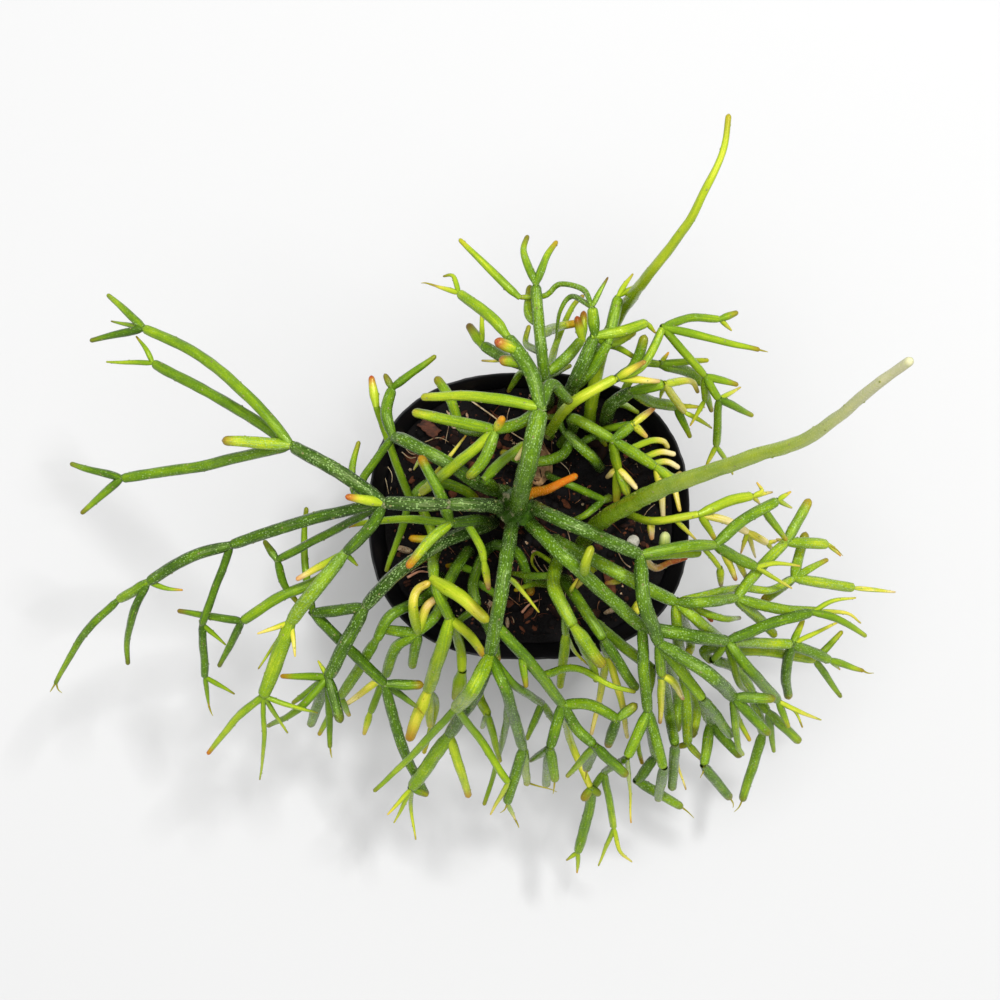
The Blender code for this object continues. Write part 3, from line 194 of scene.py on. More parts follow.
# Single stems that differ from their kind: age at both ends, fleck share, flush, and the hue of the flush
# from 0, red, over 0.5, orange, and 1, brown, to 2, pale. A flush over 1 covers the whole stem: the tip is
# flushed in full, and the rest by no less than what is over 1.
STEM_LOOK = {
    ("whip_east", "a"): (0.52, 0.36, 0.0, 0.60, 2.0),
    ("spray_southeast", "ad"): (0.50, 0.42, 0.1, 0.2, 0.9),
    ("spray_east_middle", "aca"): (0.56, 0.46, 0.2, 0.4, 1.8),
    ("spray_west", "aaac"): (0.56, 0.44, 1.0, 0.8, 0.9),
    ("spray_west", "aab"): (0.46, 0.30, 0.1, 1.0, 0.1),
    ("spray_west", "aada"): (0.50, 0.14, 0.0, 0.8, 0.5),
    ("spray_west", "aadb"): (0.66, 0.58, 1.0, 0.0, 0.5),
    ("spray_west", "aadba"): (0.34, 0.20, 0.0, 0.2, 0.5),
    ("spray_west", "aadbb"): (0.34, 0.20, 0.0, 0.2, 0.5),
    ("spray_west", "aadbc"): (0.56, 0.54, 0.3, 0.0, 0.5),
    ("spray_west", "aadbca"): (0.56, 0.46, 0.2, 1.0, 0.4),
    ("spray_west_inner", "aa"): (0.44, 0.30, 0.1, 1.0, 0.1),
    ("spray_southwest", "aca"): (0.58, 0.42, 0.5, 0.9, 0.40),
    ("spray_southwest", "acc"): (0.72, 0.46, 0.2, 1.0, 0.5),
    ("spray_southwest", "acd"): (0.62, 0.50, 0.3, 0.0, 0.9),
    ("spray_southwest", "acda"): (0.46, 0.14, 0.0, 1.0, 0.9),
    ("spray_southwest_low", "ad"): (0.50, 0.22, 0.0, 0.4, 0.7),
    ("spray_southwest_low", "ae"): (0.46, 0.16, 0.0, 0.5, 0.7),
    ("spray_south_middle", "ab"): (0.42, 0.36, 0.1, 0.2, 0.7),
    ("spray_south_middle", "aaaa"): (0.36, 0.26, 0.0, 0.7, 0.6),
    ("spray_front", "aa"): (0.56, 0.48, 0.4, 0.0, 0.5),
    ("spray_front", "aba"): (0.62, 0.58, 0.3, 0.0, 0.5),
    ("spray_front", "abb"): (0.44, 0.36, 0.1, 0.8, 0.7),
    ("spray_front", "ah"): (0.46, 0.28, 0.1, 0.6, 0.9),
    ("spray_front_right", "a"): (0.66, 0.56, 0.5, 0.0, 0.5),
    ("spray_front_right", "aa"): (0.56, 0.50, 0.4, 0.6, 0.90),
    ("spray_southeast", "ac"): (0.30, 0.12, 0.0, 0.3, 0.5),
    ("spray_southeast", "aad"): (0.62, 0.56, 1.0, 0.0, 0.5),
    ("spray_east_middle", "abaa"): (0.34, 0.12, 0.0, 1.0, 0.5),
    ("spray_east_middle", "abab"): (0.36, 0.18, 0.0, 0.8, 0.7),
    ("spray_east_middle", "ad"): (0.30, 0.20, 0.0, 1.25, 0.05),
    ("spray_east_middle", "aabc"): (0.30, 0.16, 0.0, 1.0, 0.2),
    ("spray_east_middle", "aabd"): (0.30, 0.16, 0.0, 1.0, 0.2),
    ("spray_east_low", "ab"): (0.58, 0.52, 1.0, 0.0, 0.5),
    ("spray_east_low", "abb"): (0.54, 0.50, 0.9, 0.0, 0.5),
    ("spray_east_low", "ae"): (0.34, 0.16, 0.0, 1.0, 0.1),
    ("spray_east_low", "ah"): (0.34, 0.16, 0.0, 0.8, 0.3),
    ("spray_east_low", "ai"): (0.40, 0.20, 0.0, 0.9, 0.1),
    ("spray_north", "aa"): (0.60, 0.42, 0.2, 0.3, 0.8),
    ("spray_north", "aba"): (0.62, 0.46, 0.3, 0.3, 0.8),
    ("spray_north", "abb"): (0.50, 0.42, 0.2, 0.3, 0.8),
    ("spray_north", "abba"): (0.36, 0.22, 0.0, 0.8, 0.8),
    ("spray_north", "ac"): (0.30, 0.02, 0.0, 0.3, 0.5),
    ("spray_north", "adb"): (0.60, 0.34, 0.3, 1.0, 0.0),
    ("spray_north", "adc"): (0.60, 0.34, 0.3, 1.0, 0.2),
    ("spray_north", "adda"): (0.60, 0.50, 0.1, 1.0, 1.0),
    ("spray_north", "af"): (0.50, 0.30, 0.0, 1.85, 0.45),
    ("spray_north_back", "ada"): (0.50, 0.34, 0.0, 1.0, 0.1),
    ("spray_north_back", "adb"): (0.55, 0.40, 0.0, 1.0, 0.8),
    ("spray_northeast", "ab"): (0.80, 0.60, 0.4, 0.0, 0.9),
    ("spray_northeast", "aba"): (0.70, 0.62, 1.0, 0.3, 0.8),
    ("spray_northeast", "abb"): (0.66, 0.60, 1.0, 0.3, 0.8),
    ("spray_northeast", "abc"): (0.70, 0.62, 0.9, 1.0, 1.0),
    ("spray_northeast_high", "a"): (0.56, 0.40, 0.1, 0.0, 0.5),
    ("spray_northeast_low", "aa"): (0.80, 0.62, 0.2, 0.0, 0.9),
}

# Colours as the eye sees them, from 0 to 255, each with its place in a range from 0 to 1
STEM_SHADES = (
    (0.00, (232, 214, 156)),
    (0.13, (208, 194, 66)),
    (0.28, (162, 178, 34)),
    (0.46, (118, 148, 20)),
    (0.64, (82, 116, 14)),
    (0.82, (46, 76, 14)),
    (1.00, (20, 38, 10)),
)
FLUSH_HUES = (
    (0.00, (146, 46, 32)),
    (0.25, (188, 98, 10)),
    (0.50, (104, 66, 30)),
    (1.00, (212, 198, 186)),
)
SOIL_SHADES = (
    (0.00, (5, 4, 5)),
    (0.30, (15, 10, 9)),
    (0.52, (50, 28, 20)),
    (0.74, (104, 58, 36)),
    (0.90, (164, 120, 84)),
    (1.00, (214, 194, 160)),
)

# Light: the sky's strength, the floor's grey, and each lamp's name, place, size in metres and power in watts
SKY_STRENGTH = 0.58
FLOOR_GREY = 194
FLOOR_REACH = 3.0
LAMPS = (
    ("key", (0.30, 0.40, 1.18), 0.14, 9.8),
    ("overhead", (-0.10, 0.05, 1.50), 1.20, 17),
)
LAMP_AIM = (0, 0, 0.08)
SENSOR = 36

# Fineness of the looks
SOIL_SEED = 41
RING_STEP = 0.0007
CRUMBS = 800
GRAINS = 2600
FIBRES = 170

# The knot where the main limbs meet: column, row and height over the rim in millimetres, and its half sizes
KNOT = (516, 508, 33)
KNOT_REACH = (0.0052, 0.0050, 0.0050)

# Dry thread-like ends: the stem they leave, and columns and rows they run through
WHISKER = 0.0007
WHISKERS = (
    (("spray_west", "aacbba"), ((52, 689), (50, 692))),
    (("spray_west", "aacbba"), ((58, 689), (62, 693))),
    (("spray_west", "aacaaa"), ((211, 712), (213, 716))),
    (("spray_front", "acb"), ((538, 786), (550, 789), (557, 792))),
    (("spray_front", "acab"), ((518, 825), (519, 828))),
    (("spray_front", "aca"), ((505, 809), (500, 813))),
    (("spray_front", "adaa"), ((554, 788), (553, 794))),
    (("spray_front", "adba"), ((586, 776), (585, 780))),
    (("spray_southeast", "aadaa"), ((868, 673), (874, 673))),
    (("spray_southeast", "aaeaba"), ((739, 807), (734, 812))),
    (("spray_southeast", "abcaa"), ((688, 812), (694, 818))),
    (("spray_east_middle", "abcba"), ((703, 772), (700, 778))),
    (("spray_east_middle", "abcbaa"), ((733, 803), (733, 808))),
    (("spray_east_low", "aaab"), ((836, 549), (843, 556))),
    (("spray_southwest", "abd"), ((331, 754), (332, 758))),
    (("spray_southwest", "aabb"), ((421, 712), (424, 715))),
    (("spray_north", "adaa"), ((426, 283), (421, 283))),
    (("spray_northeast_high", "adb"), ((764, 351), (768, 352))),
)

# The bark's turn and size, and the leaf's middle line, width and curl
BARK_TURN = -0.7
BARK_SIZE = (0.0062, 0.0034, 0.0012)
LEAF = ((526, 444), (535, 456), (538, 470), (533, 484))
LEAF_WIDTH = 0.0058
LEAF_CURL = 2.6

# Threads on the soil: column, row, and height over the soil in millimetres
STRAW_THICK = 0.0005
HAIR_THICK = 0.00028
SALMON_THICK = 0.0009
THREAD_END = 0.4
STRAW = ((470, 400, 0.6), (495, 418, 1.2), (512, 433, 1.6), (540, 449, 1.2), (567, 463, 0.6))
ROOT_HAIRS = (
    ((396, 436, 0.3), (404, 446, 1.0), (412, 454, 1.4), (424, 452, 0.6)),
    ((398, 430, 0.3), (410, 437, 1.2), (418, 448, 0.5)),
    ((402, 452, 0.3), (410, 458, 1.0), (420, 456, 0.4)),
    ((380, 466, 0.3), (386, 480, 1.2), (389, 494, 0.4)),
    ((384, 462, 0.3), (392, 474, 1.0), (391, 490, 0.4)),
    ((560, 462, 0.4), (568, 470, 1.2), (571, 480, 0.4)),
    ((425, 442, 0.3), (440, 438, 1.3), (456, 447, 0.4)),
)
SALMON_ROOTS = (
    ((408, 577, 1.5), (420, 571, 3.2), (430, 572, 1.8)),
    ((522, 612, 1.0), (529, 604, 2.0), (538, 600, 0.8)),
)

# Each spray is a table of stems. A stem's name is its parent's name and one letter more, and "a" stands in
# the soil. The points are column, row and height over the rim in millimetres. A stem starts where its parent
# ends, or, where its first point has no height, from the nearest place on its parent's side.
SPRAYS = {
    "spray_west": {
        "a": (LIMB, (500, 508, -10), (499, 507, 40), (478, 505, 55), (447, 504, 58)),
        "aa": (LIMB, (415, 504, 59), (384, 503, 58)),
        "aaa": (LIMB, (340, 472, 60), (291, 445, 58)),
        "aaaa": (SHOOT, (250, 398, 55), (200, 356, 47), (144, 328, 38)),
        "aaaaa": (TWIG, (107, 294, 31)),
        "aaaab": (SPROUT, (111, 321, 33)),
        "aaaac": (TWIG, (90, 341, 30)),
        "aaab": (SHOOT, (250, 417, 51), (200, 388, 43), (153, 363, 36)),
        "aaaba": (SPROUT, (106, 362, 30)),
        "aaabb": (SPROUT, (146, 349, 36), (136, 336, 34)),
        "aaac": (STEM, (222, 440, 52)),
        "aaad": (SHOOT, (200, 466, 46), (122, 478, 34)),
        "aaada": (TWIG, (70, 464, 27)),
        "aaadb": (TWIG, (81, 514, 26)),
        "aab": (BUD, (345, 496, 62)),
        "aac": (STEM, (340, 512, 54), (300, 522, 49), (231, 545, 38)),
        "aaca": (TWIG, (207, 611, 28), (202, 624, 25)),
        "aacaa": (TWIG, (205, 677, 12)),
        "aacaaa": (SPROUT, (209, 707, 4)),
        "aacaab": (SPROUT, (235, 694, 6)),
        "aacab": (SPROUT, (226, 645, 20)),
        "aacb": (STEM, (190, 557, 37), (148, 582, 31)),
        "aacba": (SPROUT, (166, 588, 29), (183, 590, 29)),
        "aacbb": (SHOOT, (118, 600, 25)),
        "aacbba": (TWIG, (85, 633, 16), (55, 684, 4)),
        "aacbc": (TWIG, (134, 612, 24), (127, 642, 17), (128, 665, 12)),
        "aad": (STEM, (370, 527, 55), (345, 553, 50)),
        "aada": (TWIG, (296, 580, 42)),
        "aadb": (LIMB, (316, 588, 45), (291, 622, 40)),
        "aadba": (SPROUT, (257, 634, 37)),
        "aadbb": (SPROUT, (295, 657, 36)),
        "aadbc": (CLUB, (263, 696, 27)),
        "aadbca": (TWIG, (235, 720, 20), (208, 754, 10)),
        "aadbcb": (SPROUT, (264, 740, 15), (260, 780, 2)),
        "aadbcc": (SPROUT, (288, 733, 16)),
        "aadbcd": (SPROUT, (297, 708, 22), (318, 713, 18)),
        "aadbd": (SPROUT, (272, 648, 32), (258, 669, 26)),
        "aadc": (SHOOT, (322, 578, 38), (280, 597, 33), (242, 621, 28)),
        "aadca": (TWIG, (177, 611, 20)),
        "aadcb": (TWIG, (219, 667, 16)),
        "aadd": (SPROUT, (358, 566, 44)),
        "aae": (TWIG, (335, 530, 44), (277, 560, 33)),
        "aaea": (TWIG, (264, 540, 32)),
        "aaeb": (TWIG, (285, 585, 28), (298, 603, 24)),
    },
    "spray_northwest": {
        "a": (LIMB, (506, 493, -10), (504, 492, 22), (480, 485, 35), (447, 462, 38), (410, 443, 37),
              (393, 437, 34)),
        "aa": (TWIG, (366, 474, 26), (355, 497, 20)),
        "aaa": (TWIG, (352, 470, 16), (359, 441, 17)),
        "ab": (STEM, (386, 412, 33), (392, 388, 30)),
        "aba": (TWIG, (384, 374, 30)),
        "abb": (TWIG, (436, 355, 34)),
        "ac": (STEM, (497, 491), (484, 479, 42)),
        "aca": (SHOOT, (505, 459, 36), (525, 443, 30)),
        "ad": (SPROUT, (425, 452), (414, 470, 30)),
    },
    "spray_west_inner": {
        "a": (TWIG, (424, 506, -10), (419, 502, 4), (408, 494, 12), (376, 405, 24)),
        "aa": (BUD, (371, 375, 24)),
        "ab": (TWIG, (409, 498), (404, 520, 8), (386, 572, -3)),
        "ad": (STEM, (414, 497), (432, 482, 8), (462, 489, 4), (478, 500, 0)),
        "ac": (SHOOT, (419, 503), (432, 536, 2), (409, 539, 2)),
    },
    "spray_southwest": {
        "a": (LIMB, (493, 522, -10), (491, 523, 16), (474, 530, 30), (440, 543, 38), (400, 571, 42),
              (365, 607, 36)),
        "aa": (STEM, (313, 613, 27)),
        "aaa": (TWIG, (306, 577, 22), (304, 540, 22), (306, 507, 24)),
        "aab": (STEM, (350, 650, 20), (385, 684, 12)),
        "aaba": (STEM, (424, 685, 10)),
        "aabb": (TWIG, (417, 707, 2)),
        "aabc": (STEM, (403, 748, -4), (426, 795, -16)),
        "ab": (LIMB, (345, 645, 31), (328, 677, 25)),
        "aba": (TWIG, (292, 704, 16)),
        "abb": (STEM, (310, 726, 12)),
        "abc": (STEM, (341, 723, 14)),
        "abd": (TWIG, (330, 748, 6)),
        "abe": (TWIG, (280, 676, 20)),
        "abf": (SPROUT, (318, 660, 24)),
        "abg": (TWIG, (300, 708, 20), (268, 726, 10)),
        "ac": (STEM, (489, 524), (478, 520, 40), (451, 523, 47)),
        "aca": (SHOOT, (430, 540, 50), (407, 568, 48)),
        "acb": (STEM, (438, 490, 44), (420, 455, 42)),
        "acc": (TWIG, (400, 519, 42), (345, 526, 36)),
        "acd": (TWIG, (466, 523), (480, 546, 40), (484, 562, 38)),
        "acda": (TWIG, (489, 590, 33)),
    },
    "spray_southwest_low": {
        "a": (STEM, (470, 552, -10), (466, 556, 4), (447, 585, 18), (437, 614, 18), (418, 633, 14)),
        "aa": (STEM, (380, 629, 10)),
        "ab": (STEM, (412, 668, 2)),
        "ac": (STEM, (396, 648, 8), (385, 676, 0)),
        "aca": (TWIG, (370, 713, -10)),
        "acaa": (YELLOW, (364, 735, -16)),
        "acb": (YELLOW, (342, 707, -6)),
        "ad": (SHOOT, (413, 606, 22), (417, 590, 26), (430, 582, 28)),
        "ae": (SHOOT, (426, 608, 20), (436, 598, 22)),
        "af": (YELLOW, (399, 644, 4), (398, 654, 0)),
    },
    "spray_southwest_side": {
        "a": (STEM, (441, 577, -10), (436, 583, 2), (424, 598, 13), (392, 615, 20), (376, 640, 18)),
        "aa": (STEM, (352, 680, 8), (340, 697, 2)),
        "aaa": (TWIG, (319, 735, -10)),
        "aab": (TWIG, (349, 716, -8)),
    },
    "spray_south_middle": {
        "a": (STEM, (437, 548, -10), (435, 552, 10), (433, 562, 20), (434, 580, 26)),
        "aa": (STEM, (441, 600, 24), (450, 618, 21)),
        "aaa": (CLUB, (443, 645, 12), (428, 691, -2)),
        "aaaa": (CLUB, (408, 741, -16)),
        "aaab": (SHOOT, (430, 727, -12)),
        "aaac": (TWIG, (436, 705, -10), (424, 754, -24)),
        "aab": (SHOOT, (470, 636, 16), (485, 656, 10)),
        "aac": (SHOOT, (460, 645, 10), (462, 672, 2)),
        "aaca": (CLUB, (456, 700, -8)),
        "ab": (CLUB, (462, 598, 30), (488, 622, 32)),
    },
    "spray_south_inner": {
        "a": (STEM, (487, 549, -10), (484, 554, 2), (473, 582, 10), (477, 608, 12)),
        "aa": (STEM, (492, 634, 8), (497, 662, 2)),
        "ab": (TWIG, (458, 622, 6), (452, 634, 2)),
        "ac": (TWIG, (476, 572), (460, 566, 4), (446, 566, -2)),
        "ad": (TWIG, (475, 580), (492, 592, 6), (499, 604, 0)),
        "ae": (STEM, (486, 550), (498, 545, 6), (520, 556, 4), (532, 596, 0)),
    },
    "spray_front": {
        "a": (LIMB, (513, 527, -10), (512, 526, 34), (506, 560, 52), (499, 605, 53), (490, 655, 47)),
        "aa": (CLUB, (474, 688, 36), (456, 708, 30)),
        "aaa": (TWIG, (412, 755, 12), (374, 791, -2)),
        "aab": (TWIG, (480, 740, 16), (508, 783, 2)),
        "aaba": (SPROUT, (490, 815, -8)),
        "ab": (LIMB, (476, 692, 22), (449, 735, 8)),
        "aba": (CLUB, (412, 788, -8)),
        "abaa": (SPROUT, (387, 815, -16)),
        "abab": (SPROUT, (394, 823, -19)),
        "abac": (SPROUT, (411, 808, -14), (416, 840, -24)),
        "abad": (TWIG, (428, 796, -10)),
        "abb": (SHOOT, (460, 768, 0), (469, 797, -10)),
        "ac": (STEM, (506, 692, 32), (523, 748, 14)),
        "aca": (STEM, (507, 803, -6)),
        "acab": (SPROUT, (516, 821, -14)),
        "acb": (SHOOT, (527, 784, 2)),
        "ad": (STEM, (498, 625), (530, 663, 40), (562, 704, 26)),
        "ada": (STEM, (550, 748, 12)),
        "adaa": (STEM, (555, 781, -2)),
        "adab": (TWIG, (530, 761, 6)),
        "adac": (STEM, (546, 785, -4)),
        "adb": (STEM, (577, 728, 16), (595, 746, 10)),
        "adba": (STEM, (586, 769, 2)),
        "adbb": (TWIG, (567, 777, -2)),
        "adbc": (STEM, (627, 776, -4)),
        "adc": (STEM, (590, 705, 18), (617, 719, 14)),
        "adca": (STEM, (637, 704, 14)),
        "adcb": (STEM, (608, 747, 4)),
        "add": (YELLOW, (572, 745, 6), (591, 788, -8)),
        "adda": (SHOOT, (582, 801, -13)),
        "addb": (SHOOT, (600, 795, -12)),
        "addc": (STEM, (590, 805, -14), (578, 852, -28)),
        "addca": (SPROUT, (566, 860, -32)),
        "addcb": (SPROUT, (577, 873, -35)),
        "ade": (TWIG, (522, 652), (526, 688, 30)),
        "adf": (TWIG, (547, 672), (575, 668, 20), (610, 685, 16), (636, 692, 14)),
        "ae": (SHOOT, (478, 690, 18), (488, 715, 10)),
        "aea": (TWIG, (500, 762, -6)),
        "aeb": (TWIG, (482, 728, 4)),
        "af": (TWIG, (515, 685, 26), (542, 703, 16)),
        "afa": (TWIG, (526, 740, 4)),
        "afb": (TWIG, (560, 730, 0)),
        "ag": (TWIG, (508, 700, 14), (498, 758, -8), (484, 805, -24)),
        "ah": (SPROUT, (505, 575), (517, 585, 46), (539, 612, 38)),
    },
    "spray_front_right": {
        "a": (LIMB, (548, 556, -10), (549, 560, 12), (554, 588, 30), (574, 627, 34)),
        "aa": (LIMB, (604, 667, 24)),
        "ab": (TWIG, (563, 612), (566, 634, 22)),
        "aba": (SHOOT, (560, 688, 4)),
        "abb": (SPROUT, (575, 652, 14), (590, 666, 8)),
        "ac": (SHOOT, (590, 660, 18), (597, 682, 10)),
        "ad": (TWIG, (552, 576), (530, 576, 16), (512, 573, 6)),
        "ae": (TWIG, (554, 586), (536, 584, 12), (514, 590, 4)),
        "af": (SPROUT, (550, 566), (537, 553, 4), (532, 563, -1), (541, 575, -5)),
    },
    "spray_front_far": {
        "a": (STEM, (568, 580, -10), (570, 584, 10), (578, 600, 22), (604, 640, 26)),
        "aa": (STEM, (637, 690, 14)),
        "ab": (SHOOT, (608, 655, 16)),
        "aba": (YELLOW, (621, 700, 2), (627, 738, -8)),
        "abb": (YELLOW, (599, 700, 2), (591, 735, -8)),
        "ac": (STEM, (590, 618), (620, 644, 18), (652, 668, 10)),
        "aca": (SHOOT, (646, 706, -2)),
        "ad": (SPROUT, (574, 592), (572, 589, 24), (579, 577, 28)),
    },
    "spray_southeast": {
        "a": (LIMB, (529, 522, -10), (531, 524, 32), (560, 553, 45), (590, 580, 43), (642, 627, 34)),
        "aa": (LIMB, (690, 636, 27), (727, 641, 20)),
        "aaa": (STEM, (770, 624, 14), (812, 612, 10)),
        "aaaa": (TWIG, (840, 620, 6), (866, 636, 0)),
        "aaab": (SPROUT, (833, 601, 6), (856, 598, 2)),
        "aaac": (SPROUT, (846, 613, 4), (861, 623, -2)),
        "aab": (STEM, (750, 670, 11), (778, 701, 0)),
        "aaba": (TWIG, (789, 728, -12)),
        "aabb": (SPROUT, (800, 712, -4), (821, 720, -10)),
        "aabc": (SPROUT, (795, 712, -8), (803, 728, -14)),
        "aac": (TWIG, (738, 680, 4), (746, 692, -2)),
        "aad": (STEM, (765, 643, 8), (792, 644, 2)),
        "aada": (STEM, (830, 660, -8)),
        "aadaa": (TWIG, (864, 671, -16)),
        "aadab": (SPROUT, (840, 670, -14)),
        "aadb": (STEM, (786, 672, -8), (788, 698, -16)),
        "aadc": (TWIG, (804, 619, 0)),
        "aadd": (SPROUT, (842, 620, -6)),
        "aae": (TWIG, (713, 660, 14)),
        "aaea": (STEM, (735, 668, 2), (752, 692, -8)),
        "aaeaa": (STEM, (768, 712, -14)),
        "aaeaaa": (STEM, (800, 742, -26)),
        "aaeaab": (TWIG, (774, 752, -26)),
        "aaeab": (STEM, (763, 733, -20)),
        "aaeaba": (STEM, (742, 801, -38)),
        "aaf": (SHOOT, (733, 650, 8), (770, 652, 0), (815, 660, -10)),
        "aafa": (TWIG, (841, 697, -24)),
        "aafb": (TWIG, (843, 631, -12)),
        "ab": (STEM, (644, 670, 26), (648, 711, 15)),
        "aba": (STEM, (627, 758, 0)),
        "abaa": (SPROUT, (630, 790, -12), (631, 823, -22)),
        "abab": (TWIG, (604, 772, -8)),
        "ababa": (TWIG, (584, 801, -18)),
        "ababb": (TWIG, (607, 790, -14), (614, 828, -26)),
        "ababba": (SPROUT, (598, 866, -38)),
        "ababbb": (SPROUT, (620, 850, -33), (632, 862, -37)),
        "abb": (STEM, (664, 768, -6)),
        "abba": (STEM, (658, 799, -18)),
        "abc": (STEM, (656, 756, -6)),
        "abca": (STEM, (637, 781, -16)),
        "abcaa": (STEM, (682, 807, -28)),
        "abd": (TWIG, (638, 740, -8), (642, 764, -16)),
        "ac": (SHOOT, (640, 605), (650, 590, 30)),
        "ad": (SHOOT, (584, 573), (586, 562, 50), (592, 546, 50)),
    },
    "spray_east_middle": {
        "a": (LIMB, (534, 507, -10), (536, 508, 34), (562, 521, 49), (600, 537, 49), (640, 555, 43)),
        "aa": (STEM, (688, 546, 36), (715, 545, 32)),
        "aaa": (STEM, (740, 523, 30), (778, 500, 25)),
        "aaaa": (SPROUT, (791, 491, 22)),
        "aaab": (SPROUT, (792, 508, 18)),
        "aaac": (TWIG, (764, 510), (787, 541, 16)),
        "aab": (STEM, (735, 557, 26), (756, 567, 21)),
        "aaba": (SPROUT, (778, 563, 18), (800, 566, 12)),
        "aabb": (SPROUT, (775, 578, 15), (792, 588, 9)),
        "aabc": (YELLOW, (722, 552), (736, 580, 16)),
        "aabd": (YELLOW, (737, 559), (746, 578, 12)),
        "aac": (SPROUT, (702, 546), (720, 568, 22)),
        "aaca": (YELLOW, (721, 586, 14)),
        "ab": (LIMB, (644, 600, 45), (659, 643, 41)),
        "aba": (STEM, (662, 675, 24)),
        "abaa": (YELLOW, (673, 682, 20), (683, 699, 10)),
        "abab": (YELLOW, (660, 723, 4)),
        "abac": (STEM, (669, 712, 8), (675, 745, -6)),
        "abaca": (SPROUT, (678, 765, -14), (686, 790, -24)),
        "abacb": (STEM, (672, 789, -20)),
        "abb": (LIMB, (711, 676, 22), (733, 697, 14)),
        "abba": (STEM, (770, 735, -4)),
        "abbb": (STEM, (776, 699, 6)),
        "abbc": (TWIG, (737, 740, 0), (743, 755, -6)),
        "abbd": (TWIG, (737, 716, 4), (750, 741, -8)),
        "abc": (STEM, (703, 699, 12)),
        "abca": (STEM, (731, 736, -4)),
        "abcb": (STEM, (710, 723, 0)),
        "abcba": (STEM, (704, 766, -14)),
        "abcbaa": (STEM, (730, 798, -28)),
        "abcbb": (STEM, (741, 757, -16)),
        "abd": (STEM, (676, 690, 4), (678, 732, -10)),
        "ac": (SHOOT, (700, 553, 30)),
        "aca": (STEM, (664, 549), (665, 532, 44)),
        "ad": (YELLOW, (655, 568, 30), (670, 562, 26), (688, 557, 24)),
    },
    "spray_east_low": {
        "a": (LIMB, (556, 540, -10), (559, 543, 18), (600, 563, 32), (640, 585, 31), (676, 602, 26)),
        "aa": (STEM, (705, 602, 24), (736, 598, 20)),
        "aaa": (STEM, (760, 568, 16), (786, 542, 12)),
        "aaaa": (STEM, (810, 499, 10)),
        "aaab": (STEM, (828, 544, 4)),
        "aaaba": (SPROUT, (841, 556, 0)),
        "aaac": (SPROUT, (776, 539, 8)),
        "aab": (STEM, (780, 609, 12), (822, 612, 4)),
        "aac": (STEM, (760, 620, 8), (776, 636, 2)),
        "ab": (TWIG, (705, 595, 18), (740, 588, 14), (770, 590, 8), (794, 578, 4)),
        "aba": (TWIG, (828, 559, -2)),
        "abb": (STEM, (854, 588, -8)),
        "abba": (SPROUT, (896, 592, -14)),
        "abc": (STEM, (799, 555, 0), (806, 532, 0)),
        "abd": (STEM, (780, 588, -2), (762, 602, -6)),
        "ac": (STEM, (678, 640, 14), (683, 668, 6)),
        "aca": (STEM, (686, 705, -4), (688, 744, -14)),
        "acaa": (TWIG, (703, 760, -20)),
        "acab": (TWIG, (678, 747, -18)),
        "acb": (STEM, (697, 705, -8), (692, 738, -20)),
        "ad": (STEM, (700, 622, 20), (727, 646, 8)),
        "ada": (STEM, (705, 650, 2), (712, 662, -2)),
        "ae": (YELLOW, (702, 612, 16), (713, 622, 12)),
        "af": (TWIG, (720, 618, 10), (740, 618, 6)),
        "ag": (STEM, (690, 640, 6), (688, 655, 0)),
        "ah": (YELLOW, (598, 563), (590, 572, 20), (573, 590, 12)),
        "ai": (YELLOW, (610, 569), (620, 580, 22), (606, 584, 16)),
    },
    "spray_east": {
        "a": (TWIG, (628, 513, -10), (632, 516, 6), (656, 521, 20), (700, 514, 24)),
        "aa": (SHOOT, (726, 502, 22), (753, 496, 19)),
        "aaa": (SPROUT, (762, 491, 18), (757, 482, 16)),
        "aab": (SPROUT, (773, 492, 16)),
        "aac": (SPROUT, (760, 505, 14)),
        "ab": (YELLOW, (726, 521, 17), (748, 532, 12)),
        "aba": (YELLOW, (767, 543, 6)),
        "abaa": (SPROUT, (779, 540, 3)),
        "abab": (SPROUT, (775, 552, 0)),
        "abb": (SPROUT, (741, 553, 4)),
        "abc": (SPROUT, (756, 558, 2)),
        "ac": (TWIG, (716, 541, 16)),
        "ad": (SPROUT, (674, 520), (697, 540, 16)),
        "ae": (YELLOW, (650, 520), (652, 540, 14)),
    },
    "spray_east_inner": {
        "a": (STEM, (561, 444, -10), (563, 436, 2), (575, 419, 16), (613, 440, 17)),
        "aa": (STEM, (633, 424, 18)),
        "aaa": (YELLOW, (655, 407, 19)),
        "aab": (YELLOW, (647, 437, 13)),
        "aac": (TWIG, (612, 428, 14), (596, 430, 8)),
        "ab": (STEM, (656, 467, 12)),
        "aba": (YELLOW, (661, 492, 6), (664, 522, 0)),
        "abb": (YELLOW, (672, 484, 6), (680, 512, 0)),
        "abc": (SHOOT, (672, 478, 6), (681, 474, 2)),
        "abd": (AERIAL, (629, 449), (650, 441, 10), (663, 441, 6), (668, 448, 0)),
        "abe": (AERIAL, (642, 458), (660, 452, 6), (675, 454, 0)),
        "abf": (AERIAL, (652, 464), (666, 462, 6), (679, 468, 0)),
        "ac": (SHOOT, (615, 455, 12), (618, 468, 9)),
        "aca": (SHOOT, (616, 502, 0)),
        "acb": (STEM, (628, 496, 2)),
        "acc": (YELLOW, (637, 489, 5)),
        "acd": (YELLOW, (606, 478, 3)),
    },
    "spray_back_inner": {
        "a": (STEM, (600, 468, -10), (598, 464, 0), (588, 453, 7), (564, 432, 8)),
        "aa": (TWIG, (556, 419, 7), (543, 417, 2)),
        "ab": (TWIG, (582, 440), (596, 436, 2), (606, 446, -3)),
        "ac": (STEM, (572, 439), (560, 456, 3), (532, 462, 0), (500, 452, -4)),
    },
    "spray_low_inner": {
